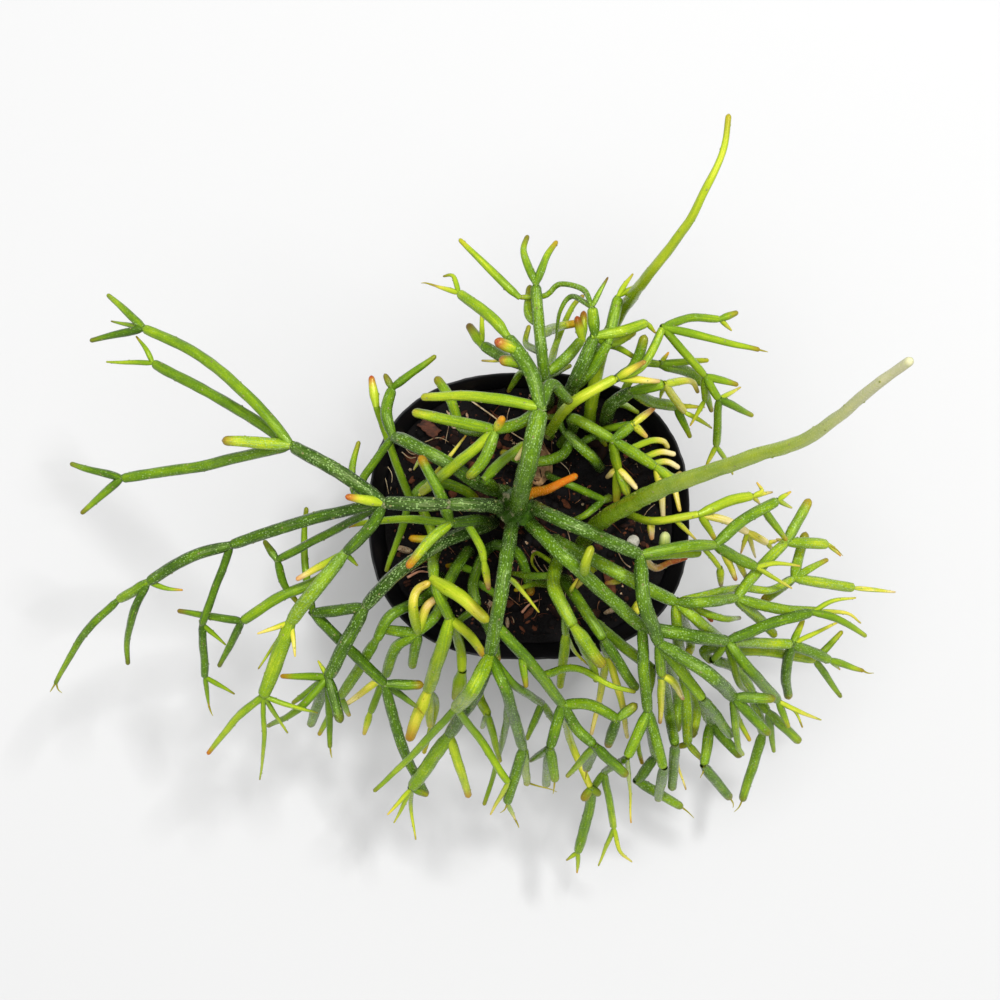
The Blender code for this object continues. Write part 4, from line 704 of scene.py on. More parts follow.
        "a": (TWIG, (548, 474, -10), (552, 478, -4), (570, 485, 2), (604, 500, 3)),
        "aa": (TWIG, (585, 515, 0), (570, 521, -4)),
        "ab": (STEM, (612, 497, 0)),
    },
    "spray_northeast": {
        "a": (LIMB, (566, 420, -10), (567, 413, 20), (578, 375, 46), (595, 336, 52)),
        "aa": (STEM, (572, 392), (590, 371, 46), (609, 341, 51)),
        "aaa": (STEM, (618, 296, 50)),
        "aaaa": (SPROUT, (625, 285, 48), (633, 274, 46)),
        "aaab": (SPROUT, (640, 284, 46)),
        "ab": (STEM, (592, 307, 55)),
        "aba": (SPROUT, (583, 289, 52), (560, 284, 46), (545, 295, 43), (519, 297, 42)),
        "abaa": (TWIG, (500, 280, 41), (459, 239, 38)),
        "abb": (SPROUT, (572, 296, 46), (560, 312, 38), (556, 340, 28)),
        "abc": (SPROUT, (608, 277, 54)),
        "ac": (SHOOT, (622, 331, 51), (647, 323, 47)),
        "aca": (SPROUT, (656, 333, 44)),
        "ad": (SHOOT, (614, 342, 46), (636, 331, 42)),
        "ae": (TWIG, (590, 352), (612, 346, 40), (638, 359, 36)),
    },
    "spray_northeast_high": {
        "a": (SHOOT, (550, 436, -10), (551, 430, 22), (572, 403, 44), (617, 378, 47)),
        "aa": (YELLOW, (646, 361, 48)),
        "ab": (YELLOW, (660, 381, 43)),
        "ac": (STEM, (634, 366, 42), (645, 335, 44)),
        "ad": (TWIG, (643, 366, 45), (663, 327, 44)),
        "ada": (TWIG, (690, 318, 40), (720, 319, 36)),
        "adaa": (TWIG, (738, 312, 34)),
        "adab": (SPROUT, (732, 331, 32)),
        "adb": (TWIG, (760, 350, 34)),
        "adc": (TWIG, (705, 376, 33)),
        "adca": (TWIG, (738, 385, 27)),
        "adcb": (TWIG, (719, 399, 27)),
        "adcba": (SPROUT, (741, 387, 22)),
        "adcbb": (TWIG, (753, 416, 19)),
        "adcbc": (TWIG, (716, 446, 13)),
        "adcbca": (SPROUT, (705, 468, 6)),
        "adcbcb": (SPROUT, (727, 461, 6), (733, 475, 2)),
        "adcc": (TWIG, (705, 400, 24)),
        "adcca": (SPROUT, (690, 426, 16)),
    },
    "spray_northeast_low": {
        "a": (LIMB, (606, 428, -10), (606, 421, 8), (612, 404, 25), (632, 391, 33)),
        "aa": (STEM, (665, 384, 31)),
        "aaa": (YELLOW, (690, 381, 27), (698, 393, 22)),
        "aab": (YELLOW, (684, 412, 19)),
        "aaba": (SPROUT, (700, 420, 15), (712, 428, 10)),
        "aac": (SPROUT, (660, 398, 24)),
        "ab": (STEM, (650, 401, 26), (676, 406, 20)),
        "aba": (TWIG, (690, 438, 8)),
        "abb": (SPROUT, (705, 407, 16)),
        "ac": (TWIG, (618, 396), (640, 366, 28), (660, 364, 25)),
        "aca": (TWIG, (709, 360, 18)),
        "acb": (STEM, (690, 373, 18), (703, 384, 12)),
        "acba": (TWIG, (712, 412, 2)),
        "acc": (SPROUT, (669, 352, 24)),
        "ad": (TWIG, (606, 406), (622, 404, 12), (638, 413, 2)),
    },
    "spray_north": {
        "a": (TRUNK, (517, 508, -10), (517, 507, 38), (528, 464, 60), (541, 408, 63)),
        "aa": (SHOOT, (500, 399, 61), (460, 396, 56), (421, 397, 50)),
        "ab": (STEM, (520, 423, 57), (496, 430, 54)),
        "aba": (STEM, (455, 421, 47), (412, 412, 42)),
        "abb": (SHOOT, (460, 461, 42), (421, 493, 32)),
        "abba": (SPROUT, (466, 435, 42)),
        "abc": (STEM, (485, 458, 50), (467, 478, 48)),
        "abd": (BUD, (503, 417, 58)),
        "abe": (STEM, (463, 428, 36), (450, 398, 34), (436, 377, 32)),
        "ac": (YELLOW, (527, 436), (516, 460, 52)),
        "ad": (LIMB, (530, 370, 63), (507, 336, 60)),
        "ada": (SHOOT, (492, 318, 58), (459, 293, 51)),
        "adaa": (SPROUT, (433, 285, 46)),
        "adab": (SPROUT, (453, 276, 49), (443, 276, 47)),
        "adb": (STEM, (516, 352), (495, 341, 64)),
        "adc": (STEM, (524, 364), (500, 360, 56)),
        "add": (STEM, (527, 368), (503, 357, 50), (482, 345, 46)),
        "adda": (SHOOT, (468, 324, 42)),
        "addb": (SPROUT, (482, 304, 44)),
        "ade": (SPROUT, (518, 358), (498, 361, 46), (481, 361, 42)),
        "ae": (STEM, (550, 385, 58), (563, 394, 52), (570, 402, 46)),
        "af": (SHOOT, (522, 497), (548, 489, 26), (577, 475, 20)),
    },
    "spray_north_back": {
        "a": (STEM, (549, 405, -10), (548, 396, 20), (544, 374, 42), (539, 327, 46), (536, 284, 44)),
        "aa": (TWIG, (524, 254, 41), (528, 235, 39)),
        "ab": (TWIG, (546, 258, 41), (557, 241, 39)),
        "ac": (SHOOT, (538, 326), (529, 312, 40), (530, 285, 38)),
        "ad": (STEM, (545, 376), (566, 358, 38), (582, 339, 38)),
        "ada": (BUD, (577, 316, 38)),
        "adb": (BUD, (584, 311, 38)),
        "ae": (TWIG, (545, 378), (560, 370, 28), (571, 365, 24)),
        "af": (TWIG, (541, 352), (526, 344, 30), (529, 325, 28)),
        "ag": (TWIG, (547, 392), (524, 372, 16), (508, 392, 2)),
        "ah": (SHOOT, (540, 335), (560, 326, 28), (580, 323, 24)),
        "ai": (TWIG, (546, 385), (556, 345, 16), (572, 308, 18), (584, 295, 20)),
    },
    "whip_north": {
        "a": (SLIM_WHIP, (590, 428, -10), (590, 424, 6), (594, 388, 20), (603, 347, 28), (622, 311, 39),
              (647, 277, 68), (686, 226, 86), (707, 187, 94), (724, 148, 97), (729, 114, 98)),
    },
    "whip_east": {
        "a": (WHIP, (582, 546, -10), (585, 540, 10), (598, 524, 36), (622, 509, 64), (657, 491, 98),
              (715, 470, 128), (756, 456, 146), (802, 441, 164), (841, 415, 180), (872, 388, 192),
              (912, 360, 204)),
    },
}


def photo_scale(height):
    """Metres across one pixel of the photograph, at a height over the rim."""
    return RIM_WIDTH / RIM_PIXELS * (EYE_HEIGHT - height) / EYE_HEIGHT


def eye_spot():
    """Where the eye stands beside the pot's middle."""
    return (PHOTO_MIDDLE - POT_COLUMN) * photo_scale(0), (POT_ROW - PHOTO_MIDDLE) * photo_scale(0)


def placed(column, row, height):
    """The point, in metres, that the photograph shows at a column and a row, at a height over the rim."""
    eye_x, eye_y = eye_spot()
    scale = photo_scale(height)
    x = eye_x + (column - PHOTO_MIDDLE) * scale
    y = eye_y - (row - PHOTO_MIDDLE) * scale
    return np.array([x, y, POT_HEIGHT + height])


def curve_weights(count, places):
    """How much each of a curve's points counts at each place along it: 0 is the first point, 1 the next."""
    weights = np.zeros((len(places), count))
    for row, place in enumerate(places):
        first = min(int(place), count - 2)
        t = place - first
        shares = {
            first - 1: -0.5 * t + t**2 - 0.5 * t**3,
            first: 1 - 2.5 * t**2 + 1.5 * t**3,
            first + 1: 0.5 * t + 2 * t**2 - 1.5 * t**3,
            first + 2: -0.5 * t**2 + 0.5 * t**3,
        }
        for index, share in shares.items():
            if index < 0:
                weights[row, 0] += 2 * share
                weights[row, 1] -= share
            elif index >= count:
                weights[row, count - 1] += 2 * share
                weights[row, count - 2] -= share
            else:
                weights[row, index] += share
    return weights


class Stem:
    """One joint of the plant. Its points hold column, row and height in metres, its own start first."""

    def __init__(self, spray, name, row, stems):
        self.spray = spray
        self.name = name
        self.kind = row[0]
        self.radius = THICKNESS[row[0]] / 2
        listed = list(row[1:])
        self.parent = stems.get((spray, name[:-1]))
        self.side = self.parent is not None and len(listed[0]) == 2
        self.place = 0.0
        if self.parent is None:
            start = (*listed[0][:2], listed[0][2] / 1000 + FOOT_RISE)
            listed = listed[1:]
        elif self.side:
            self.place = self.parent.nearest_place(listed[0])
            start = self.parent.at(self.place)
            listed = listed[1:]
        else:
            self.place = float(len(self.parent.points) - 1)
            start = self.parent.points[-1]
        self.points = np.array([start] + [(column, line, high / 1000) for column, line, high in listed])
        self.own = 1 if self.parent else 0
        self.tapers = row[0] in (WHIP, SLIM_WHIP)
        self.along_start = self.parent.along(self.place) if self.parent else 0.0
        stems[(spray, name)] = self

    def at(self, place):
        return curve_weights(len(self.points), [place])[0] @ self.points

    def nearest_place(self, spot):
        places = np.linspace(0, len(self.points) - 1, 60)
        shown = curve_weights(len(self.points), places) @ self.points
        return float(places[np.argmin(np.hypot(*(shown[:, :2] - spot).T))])

    def path(self, places):
        """Points in metres along the stem."""
        shown = curve_weights(len(self.points), places) @ self.points
        return np.array([placed(*point) for point in shown])

    def along(self, place):
        """Length from the spray's foot to a place on this stem."""
        steps = self.path(np.linspace(0, place, 12))
        return self.along_start + float(np.linalg.norm(np.diff(steps, axis=0), axis=1).sum())

    def limits(self):
        """How far each of the stem's own points may be moved: pixels across and down, metres up or down."""
        allowed = np.tile((0.0, 0.0, RISE_LIMIT), (len(self.points) - self.own, 1))
        if self.parent is None:
            allowed[0] = (FOOT_LIMIT, FOOT_LIMIT, 0)
            allowed[1] = (FOOT_LIMIT, FOOT_LIMIT, RISE_LIMIT)
        return allowed

    def reattach(self):
        if self.side:
            self.points[0] = self.parent.at(self.place)
        elif self.parent:
            self.points[0] = self.parent.points[-1]


def grown():
    """Every stem of every spray, parents first."""
    stems = {}
    for spray, table in SPRAYS.items():
        for name in sorted(table, key=lambda name: (len(name), name)):
            Stem(spray, name, table[name], stems)
    return list(stems.values())


def path_between(one, along_one, other, along_other, ends):
    """Length along the spray between two places on two of its stems."""
    shared = 0
    while shared < min(len(one.name), len(other.name)) and one.name[shared] == other.name[shared]:
        shared += 1
    fork = min(along_one, along_other, ends[(one.spray, one.name[:shared])])
    return along_one + along_other - 2 * fork


def outline_share(x, y, z):
    """1 on the pot's outer face at that height, less inside it and more outside."""
    taper = BASE_SHARE + (1 - BASE_SHARE) * np.clip(z / POT_HEIGHT, 0, 1)
    across = np.abs(x) / (RIM_WIDTH / 2 * taper)
    deep = np.abs(y) / (RIM_DEPTH / 2 * taper)
    return (across**CORNER_POWER + deep**CORNER_POWER) ** (1 / CORNER_POWER)


class Samples:
    """Places along all stems. Each place is a fixed share of the stems' own points."""

    def __init__(self, stems):
        self.stems = stems
        self.listed = np.vstack([stem.points[stem.own:] for stem in stems])
        total = len(self.listed)
        self.ends = {}
        self.rows = {}
        owner, shares, radius, along, steep, root = [], [], [], [], [], []
        start = 0
        for index, stem in enumerate(stems):
            count = len(stem.points)
            rows = np.zeros((count, total))
            rows[stem.own:, start: start + count - stem.own] = np.eye(count - stem.own)
            start += count - stem.own
            if stem.parent:
                carried = curve_weights(len(stem.parent.points), [stem.place])[0]
                rows[0] = carried @ self.rows[stem.parent]
            self.rows[stem] = rows
            length = stem.along(count - 1) - stem.along_start
            self.ends[(stem.spray, stem.name)] = stem.along_start + length
            places = np.linspace(0, count - 1, max(3, math.ceil(length / SAMPLE_STEP)))
            path = stem.path(places)
            rise = np.gradient(path, axis=0)
            owner += [index] * len(places)
            shares.append(curve_weights(count, places) @ rows)
            radius += [stem.radius] * len(places)
            along += [stem.along(place) for place in places]
            steep += list(np.abs(rise[:, 2]) > STEEP * np.hypot(rise[:, 0], rise[:, 1]))
            root += [stem.parent is None] * len(places)
        self.owner = np.array(owner)
        self.shares = np.vstack(shares)
        self.radius = np.array(radius)
        self.along = np.array(along)
        self.root = np.array(root)
        self.steep = np.array(steep) & self.root
        self.reach_out = np.clip(self.shares, 0, 1)
        self.find_pairs()

    def find_pairs(self):
        """Pairs of places that the photograph shows closer than their stems are thick."""
        shown = self.shares @ self.listed
        scale = photo_scale(shown[:, 2])
        found = []
        for first in range(len(shown)):
            rest = slice(first + 1, len(shown))
            apart = np.hypot(*(shown[rest, :2] - shown[first, :2]).T) * (scale[rest] + scale[first]) / 2
            reach = self.radius[rest] + self.radius[first] + CLEARANCE
            near = (apart < reach + SIDEWAYS) & (self.owner[rest] != self.owner[first])
            for other in np.nonzero(near)[0]:
                if not self.joined(first, first + 1 + other, reach[other]):
                    found.append((first, first + 1 + other, apart[other], reach[other]))
        groups = {}
        for first, other, apart, reach in found:
            upright = bool(self.steep[first] or self.steep[other])
            key = (self.owner[first], self.owner[other], upright)
            groups.setdefault(key, []).append((first, other, apart, reach))
        crossing, upright = [], []
        for key, members in groups.items():
            if key[2]:
                upright += [(first, other, reach) for first, other, _, reach in members]
                continue
            nearest = min(members, key=lambda member: member[2] / member[3])
            above = shown[nearest[0], 2] >= shown[nearest[1], 2]
            for first, other, _, reach in members:
                crossing.append((first, other, reach) if above else (other, first, reach))
        self.crossing = np.array(crossing)
        self.upright = np.array(upright)

    def joined(self, first, other, reach):
        one, two = self.stems[self.owner[first]], self.stems[self.owner[other]]
        if one.spray != two.spray:
            return False
        return path_between(one, self.along[first], two, self.along[other], self.ends) < JOINED_REACH * reach

    def pushes(self, now):
        """How far each place has to move: across and down the photograph, in pixels, and up, in metres."""
        scale = photo_scale(now[:, 2])
        push = np.zeros_like(now)
        upper, lower = self.crossing[:, 0].astype(int), self.crossing[:, 1].astype(int)
        reach = self.crossing[:, 2]
        apart = np.hypot(*(now[upper, :2] - now[lower, :2]).T) * (scale[upper] + scale[lower]) / 2
        lack = np.sqrt(np.maximum(reach**2 - apart**2, 0)) - (now[upper, 2] - now[lower, 2])
        short = (lack > 0) & (apart < reach)
        up, down = np.zeros(len(now)), np.zeros(len(now))
        np.maximum.at(up, upper[short], lack[short] / 2)
        np.maximum.at(down, lower[short], lack[short] / 2)
        push[:, 2] = up - down
        one, two = self.upright[:, 0].astype(int), self.upright[:, 1].astype(int)
        offset = now[one, :2] - now[two, :2]
        flat = np.hypot(*offset.T) + 1e-6
        size = (scale[one] + scale[two]) / 2
        distance = np.hypot(flat * size, now[one, 2] - now[two, 2])
        lack = (self.upright[:, 2] - distance) / size
        close = lack > 0
        step = offset / flat[:, None] * (lack * SIDE_SHARE)[:, None]
        np.add.at(push[:, :2], one[close], step[close])
        np.add.at(push[:, :2], two[close], -step[close])
        push[:, 2] += self.lifts(now)
        return push

    def lifts(self, now):
        """How far each place has to rise to stay clear of the rim, the wall, the soil and the ground."""
        points = placed(now[:, 0], now[:, 1], now[:, 2]).T
        share = outline_share(*points.T)
        clear = self.radius + CLEARANCE
        least = np.where(share > 1, LOWEST - POT_HEIGHT, SOIL_LUMP - SOIL_BELOW_RIM) + clear
        beside = np.abs(share - 1) < (clear + WALL + LIP_REACH) / (RIM_DEPTH / 2)
        least = np.where(beside, clear, least)
        standing = self.steep & ~beside
        return np.where(standing, 0, np.maximum(least - now[:, 2], 0))


def settle(stems):
    """Moves the stems' points until no stem runs through another, the pot or the soil."""
    samples = Samples(stems)
    free = samples.listed.copy()
    limits = np.vstack([stem.limits() for stem in stems])
    for _ in range(SETTLE_ROUNDS):
        push = samples.pushes(samples.shares @ free)
        if np.abs(push[:, 2]).max() < STILL_RISE and np.abs(push[:, :2]).max() < STILL_PIXELS:
            break
        weight = np.maximum(samples.reach_out.T @ (push != 0), LEAST_WEIGHT)
        free += samples.reach_out.T @ push / weight
        free = np.clip(free, samples.listed - limits, samples.listed + limits)
    start = 0
    for stem in stems:
        count = len(stem.points) - stem.own
        stem.points[stem.own:] = free[start: start + count]
        start += count
        stem.reattach()


def pot_outline(z, inset, turn):
    """A point of the pot's outline at a height, moved in by an inset."""
    taper = BASE_SHARE + (1 - BASE_SHARE) * z / POT_HEIGHT
    half_width = RIM_WIDTH / 2 * taper - inset
    half_depth = RIM_DEPTH / 2 * taper - inset
    cos, sin = math.cos(turn), math.sin(turn)
    reach = (abs(cos) ** CORNER_POWER + abs(sin) ** CORNER_POWER) ** (-1 / CORNER_POWER)
    return Vector((half_width * cos * reach, half_depth * sin * reach, z))


def soil_height(x, y):
    """Height of the soil's lumpy top."""
    wave = math.sin(x * 520 + 0.4) * math.cos(y * 610 - 0.9)
    ripple = math.sin(x * 1370 + y * 940) * math.cos(y * 1510 - x * 480 + 1.3)
    return POT_HEIGHT - SOIL_BELOW_RIM + SOIL_LUMP * (0.55 * wave + 0.45 * ripple)


def linear(red, green, blue):
    """A colour given as the eye sees it on a screen, from 0 to 255, for a shader."""
    shares = [value / 255 for value in (red, green, blue)]
    return tuple(share / 12.92 if share <= 0.04045 else ((share + 0.055) / 1.055) ** 2.4 for share in shares)


class Paint:
    """Builds one node material."""

    def __init__(self, name):
        self.material = bpy.data.materials.new(name)
        self.material.use_nodes = True
        self.nodes = self.material.node_tree.nodes
        self.links = self.material.node_tree.links
        self.shader = self.nodes["Principled BSDF"]

    def node(self, kind, settings=None, **sockets):
        made = self.nodes.new(kind)
        for key, value in (settings or {}).items():
            setattr(made, key, value)
        for key, value in sockets.items():
            self.set(made.inputs[key.replace("_", " ")], value)
        return made

    def set(self, socket, value):
        if isinstance(value, bpy.types.NodeSocket):
            self.links.new(value, socket)
        elif isinstance(value, tuple) and socket.type == "RGBA":
            socket.default_value = (*value[:3], 1)
        else:
            socket.default_value = value

    def maths(self, operation, first, second=0.0, clamp=False):
        made = self.nodes.new("ShaderNodeMath")
        made.operation = operation
        made.use_clamp = clamp
        self.set(made.inputs[0], first)
        self.set(made.inputs[1], second)
        return made.outputs[0]

    def shifted(self, value, cloud, reach):
        """The value moved up or down by a cloud, by half the reach at most, and kept from 0 to 1."""
        return self.plus(value, self.times(self.maths("SUBTRACT", cloud, 0.5), reach), True)

    def times(self, first, second):
        return self.maths("MULTIPLY", first, second)

    def plus(self, first, second, clamp=False):
        return self.maths("ADD", first, second, clamp)

    def between(self, value, low, high, start=0.0, end=1.0):
        """A smooth step from start to end as the value goes from low to high."""
        made = self.nodes.new("ShaderNodeMapRange")
        made.interpolation_type = "SMOOTHSTEP"
        self.set(made.inputs["Value"], value)
        for key, number in (("From Min", low), ("From Max", high), ("To Min", start), ("To Max", end)):
            made.inputs[key].default_value = number
        return made.outputs["Result"]

    def mix(self, share, first, second):
        made = self.nodes.new("ShaderNodeMix")
        made.data_type = "RGBA"
        self.set(made.inputs["Factor"], share)
        self.set(made.inputs[6], first)
        self.set(made.inputs[7], second)
        return made.outputs[2]

    def attribute(self, name):
        made = self.nodes.new("ShaderNodeAttribute")
        made.attribute_name = name
        return made.outputs["Fac"]

    def cloud(self, vector, scale, detail=3.0, rough=0.55):
        made = self.node("ShaderNodeTexNoise", None, Scale=scale, Detail=detail, Roughness=rough)
        self.set(made.inputs["Vector"], vector)
        return made.outputs["Fac"]

    def place(self):
        return self.node("ShaderNodeTexCoord").outputs["Object"]

    def stretched(self, vector, scale):
        made = self.nodes.new("ShaderNodeMapping")
        self.set(made.inputs["Vector"], vector)
        made.inputs["Scale"].default_value = scale
        return made.outputs["Vector"]

    def cells(self, vector, output="Distance"):
        made = self.nodes.new("ShaderNodeTexVoronoi")
        self.set(made.inputs["Vector"], vector)
        made.inputs["Scale"].default_value = 1.0
        return made.outputs[output]

    def ramp(self, value, stops):
        made = self.nodes.new("ShaderNodeValToRGB")
        self.set(made.inputs["Fac"], value)
        band = made.color_ramp
        while len(band.elements) < len(stops):
            band.elements.new(0.5)
        for element, (position, colour) in zip(band.elements, stops):
            element.position = position
            element.color = (*linear(*colour), 1)
        return made.outputs["Color"]

    def bump(self, height, strength, distance, under=None):
        made = self.nodes.new("ShaderNodeBump")
        made.inputs["Strength"].default_value = strength
        made.inputs["Distance"].default_value = distance
        self.set(made.inputs["Height"], height)
        if under is not None:
            self.set(made.inputs["Normal"], under)
        return made.outputs["Normal"]

    def finish(self, **sockets):
        for key, value in sockets.items():
            self.set(self.shader.inputs[key.replace("_", " ")], value)
        return self.material


def stem_paint():
    """Stem skin: green by age, with fine pale flecks, brown dots, corky joints and flushed tips. The age it
    reads also carries painted light and shade: paler on each stem's upper side, darker underneath.
    """
    paint = Paint("stem_skin")
    skin = paint.node("ShaderNodeUVMap", {"uv_map": "skin"}).outputs["UV"]
    place = paint.place()
    # The age attribute also holds painted light and shade: younger and paler on each stem's upper side, older
    # and darker underneath
    age = paint.attribute("age")
    patches = paint.cloud(place, 150, 3)
    grain = paint.cloud(place, 1700, 3)
    speckle = paint.cloud(place, 3800, 2)
    streaks = paint.cloud(paint.stretched(skin, (150, 2300, 1)), 1.0, 3)
    amount = paint.attribute("fleck")
    vary = paint.between(amount, 0.0, 0.4, 0.45, 1.0)
    tone = paint.plus(paint.times(patches, 0.44), paint.times(streaks, 0.60))
    tone = paint.plus(tone, paint.times(speckle, 0.46))
    tone = paint.times(paint.maths("SUBTRACT", tone, 0.75), vary)
    colour = paint.ramp(paint.plus(age, tone, True), STEM_SHADES)
    spots = paint.stretched(skin, (1500, 2000, 1))
    chance = paint.plus(paint.cells(spots, "Color"), paint.times(amount, 0.50))
    size = paint.between(chance, 0.40, 1.15, 0.0, 0.42)
    fleck = paint.between(paint.maths("SUBTRACT", size, paint.cells(spots)), -0.06, 0.12)
    fleck = paint.times(fleck, paint.between(amount, 0.0, 0.5))
    colour = paint.mix(paint.times(fleck, 0.54), colour, linear(158, 190, 116))
    dust = paint.times(paint.between(streaks, 0.50, 0.72), amount)
    colour = paint.mix(paint.times(dust, 0.46), colour, linear(150, 172, 104))
    dots = paint.cells(paint.stretched(skin, (230, 460, 1)))
    dot = paint.times(paint.between(dots, 0.05, 0.11, 1.0, 0.0), paint.between(age, 0.60, 0.25))
    colour = paint.mix(paint.times(dot, 0.55), colour, linear(96, 70, 16))
    hue = paint.ramp(paint.times(paint.attribute("warm"), 0.5), FLUSH_HUES)
    flush = paint.times(paint.attribute("flush"), paint.between(grain, 0.25, 0.55, 0.7, 1.0))
    colour = paint.mix(flush, colour, hue)
    crust = paint.between(paint.shifted(paint.attribute("cork"), grain, 0.9), 0.42, 0.66)
    cork = paint.mix(grain, linear(84, 70, 44), linear(172, 166, 134))
    colour = paint.mix(paint.times(crust, 0.80), colour, cork)
    scale = paint.mix(grain, linear(84, 62, 22), linear(180, 176, 120))
    colour = paint.mix(paint.attribute("areole"), colour, scale)
    rough = paint.between(paint.plus(grain, crust), 0.3, 1.4, 0.16, 0.80)
    lift = paint.plus(paint.times(fleck, 0.6), paint.times(streaks, 1.3))
    lift = paint.plus(lift, paint.times(grain, paint.plus(crust, 0.60)))
    normal = paint.bump(paint.times(lift, vary), 0.80, 0.00020)
    return paint.finish(Base_Color=colour, Roughness=rough, Normal=normal, Specular_IOR_Level=0.36,
                        Specular_Tint=(0.85, 1.0, 0.45))


def pot_paint():
    """Thin black moulded plastic with a satin grain, fine scratches and a little soil dust."""
    paint = Paint("pot_plastic")
    place = paint.place()
    grain = paint.cloud(place, 2600, 2)
    smudge = paint.cloud(place, 70, 4)
    scratches = paint.cloud(paint.stretched(place, (90, 90, 1400)), 1.0, 2)
    dust = paint.between(smudge, 0.54, 0.80)
    colour = paint.mix(paint.times(dust, 0.25), linear(11, 10, 13), linear(46, 40, 36))
    rough = paint.between(paint.plus(smudge, paint.times(scratches, 0.4)), 0.4, 1.1, 0.42, 0.68)
    normal = paint.bump(grain, 0.25, 0.00012)
    normal = paint.bump(scratches, 0.15, 0.0002, normal)
    return paint.finish(Base_Color=colour, Roughness=rough, Normal=normal, Specular_IOR_Level=0.30)


def soil_paint():
    """Potting mix: nearly black peat with brown crumbs and fibres, each by its own tone."""
    paint = Paint("soil_mix")
    place = paint.place()
    tone = paint.attribute("tone")
    grain = paint.cloud(place, 2100, 4, 0.65)
    patches = paint.cloud(place, 240, 3)
    colour = paint.ramp(paint.shifted(tone, grain, 0.45), SOIL_SHADES)
    dark = paint.between(patches, 0.35, 0.6, 0.40, 0.0)
    colour = paint.mix(dark, colour, linear(8, 6, 7))
    rough = paint.between(grain, 0.2, 0.8, 0.66, 0.98)
    normal = paint.bump(grain, 0.7, 0.0006)
    return paint.finish(Base_Color=colour, Roughness=rough, Normal=normal, Specular_IOR_Level=0.18)


def plain_paint(name, dark, light, scale, roughness, depth, stretch=(1, 1, 1)):
    """A mottled material between two colours."""
    paint = Paint(name)
    place = paint.stretched(paint.place(), stretch)
    patches = paint.cloud(place, scale, 4, 0.6)
    grain = paint.cloud(place, scale * 6, 3)
    colour = paint.mix(paint.between(patches, 0.3, 0.7), dark, light)
    colour = paint.mix(paint.times(grain, 0.35), colour, dark)
    rough = paint.between(grain, 0.2, 0.8, roughness - 0.1, min(1.0, roughness + 0.1))
    normal = paint.bump(paint.plus(patches, paint.times(grain, 0.5)), 0.5, depth)
    return paint.finish(Base_Color=colour, Roughness=rough, Normal=normal)


def mesh_object(name, points, faces, material, smooth=True, marks=None, uvs=None):
    """A mesh object with point values and a UV map."""
    data = bpy.data.meshes.new(name)
    data.from_pydata([tuple(point) for point in points], [], faces)
    for key, values in (marks or {}).items():
        layer = data.attributes.new(key, "FLOAT", "POINT")
        layer.data.foreach_set("value", np.asarray(values, dtype=np.float32))
    if uvs is not None:
        layer = data.uv_layers.new(name="skin")
        layer.data.foreach_set("uv", np.asarray(uvs, dtype=np.float32).ravel())
    data.materials.append(material)
    if smooth:
        data.shade_smooth()
    made = bpy.data.objects.new(name, data)
    bpy.context.scene.collection.objects.link(made)
    return made


def smooth_step(value):
    value = np.clip(value, 0, 1)
    return value * value * (3 - 2 * value)


def ring_turns(sides):
    """Angles of a ring's corners."""
    return 2 * math.pi * np.arange(sides) / sides


def ring_spokes(firsts, seconds, turns):
    """Directions from each point of a line to the corners of the ring round it."""
    cos, sin = np.cos(turns)[None, :, None], np.sin(turns)[None, :, None]
    return cos * firsts[:, None, :] + sin * seconds[:, None, :]


def band_faces(bands, sides, base=0):
    """Squares between rings of points that follow each other."""
    faces = []
    for ring in range(base, base + bands * sides, sides):
        for side in range(sides):
            first, second = ring + side, ring + (side + 1) % sides
            faces.append((first, second, second + sides, first + sides))
    return faces


class Skin:
    """Collects the fine tubes of one spray in one mesh."""

    def __init__(self):
        self.points = []
        self.faces = []
        self.uvs = []
        self.marks = {key: [] for key in ("age", "fleck", "flush", "warm", "cork", "areole")}

    def add(self, points, faces, uvs, **marks):
        base = len(self.points)
        self.points += [tuple(point) for point in points]
        self.faces += [tuple(base + corner for corner in face) for face in faces]
        self.uvs += uvs
        for key, values in self.marks.items():
            given = marks.get(key, 0.0)
            values += list(given) if hasattr(given, "__len__") else [given] * len(points)


def even_path(stem):
    """The stem's middle line as close points, and the length from its start to each of them."""
    last = len(stem.points) - 1
    dense = stem.path(np.linspace(0, last, 16 * last + 1))
    steps = np.linalg.norm(np.diff(dense, axis=0), axis=1)
    run = np.concatenate([[0], np.cumsum(steps)])
    return dense, run


def frames_along(spine):
    """Two directions across the line at each of its points, turned as little as possible."""
    tangents = np.gradient(spine, axis=0)
    tangents /= np.linalg.norm(tangents, axis=1)[:, None]
    across = np.cross(tangents[0], (0.31, 0.17, 0.93))
    if np.linalg.norm(across) < 0.1:
        across = np.cross(tangents[0], (1.0, 0.0, 0.0))
    firsts, seconds = [], []
    for tangent in tangents:
        across = across - tangent * (across @ tangent)
        across /= np.linalg.norm(across)
        firsts.append(across)
        seconds.append(np.cross(tangent, across))
    return tangents, np.array(firsts), np.array(seconds)


def stem_look(stem, has_children):
    """Age at both ends, fleck share, flush and the hue of the flush of one stem."""
    dice = random.Random(stem.spray + stem.name)
    marked = STEM_LOOK.get((stem.spray, stem.name))
    if marked:
        return marked
    start, end, fleck, flush = LOOK[stem.kind]
    older, more = SPRAY_LOOK.get(stem.spray, (0.0, 0.0))
    shift = older + dice.uniform(-0.08, 0.08)
    flush = min(flush * dice.choice((0.4, 0.8, 1.2)), 1.0)
    if has_children:
        end = (start + end) / 2
        flush = 0.0
    fleck = min(max(fleck + more + dice.uniform(-0.15, 0.15), 0.0), 1.0)
    return max(start + shift, 0.0), max(end + shift, 0.0), fleck, flush, dice.choice((0.5, 0.9, 1.0))


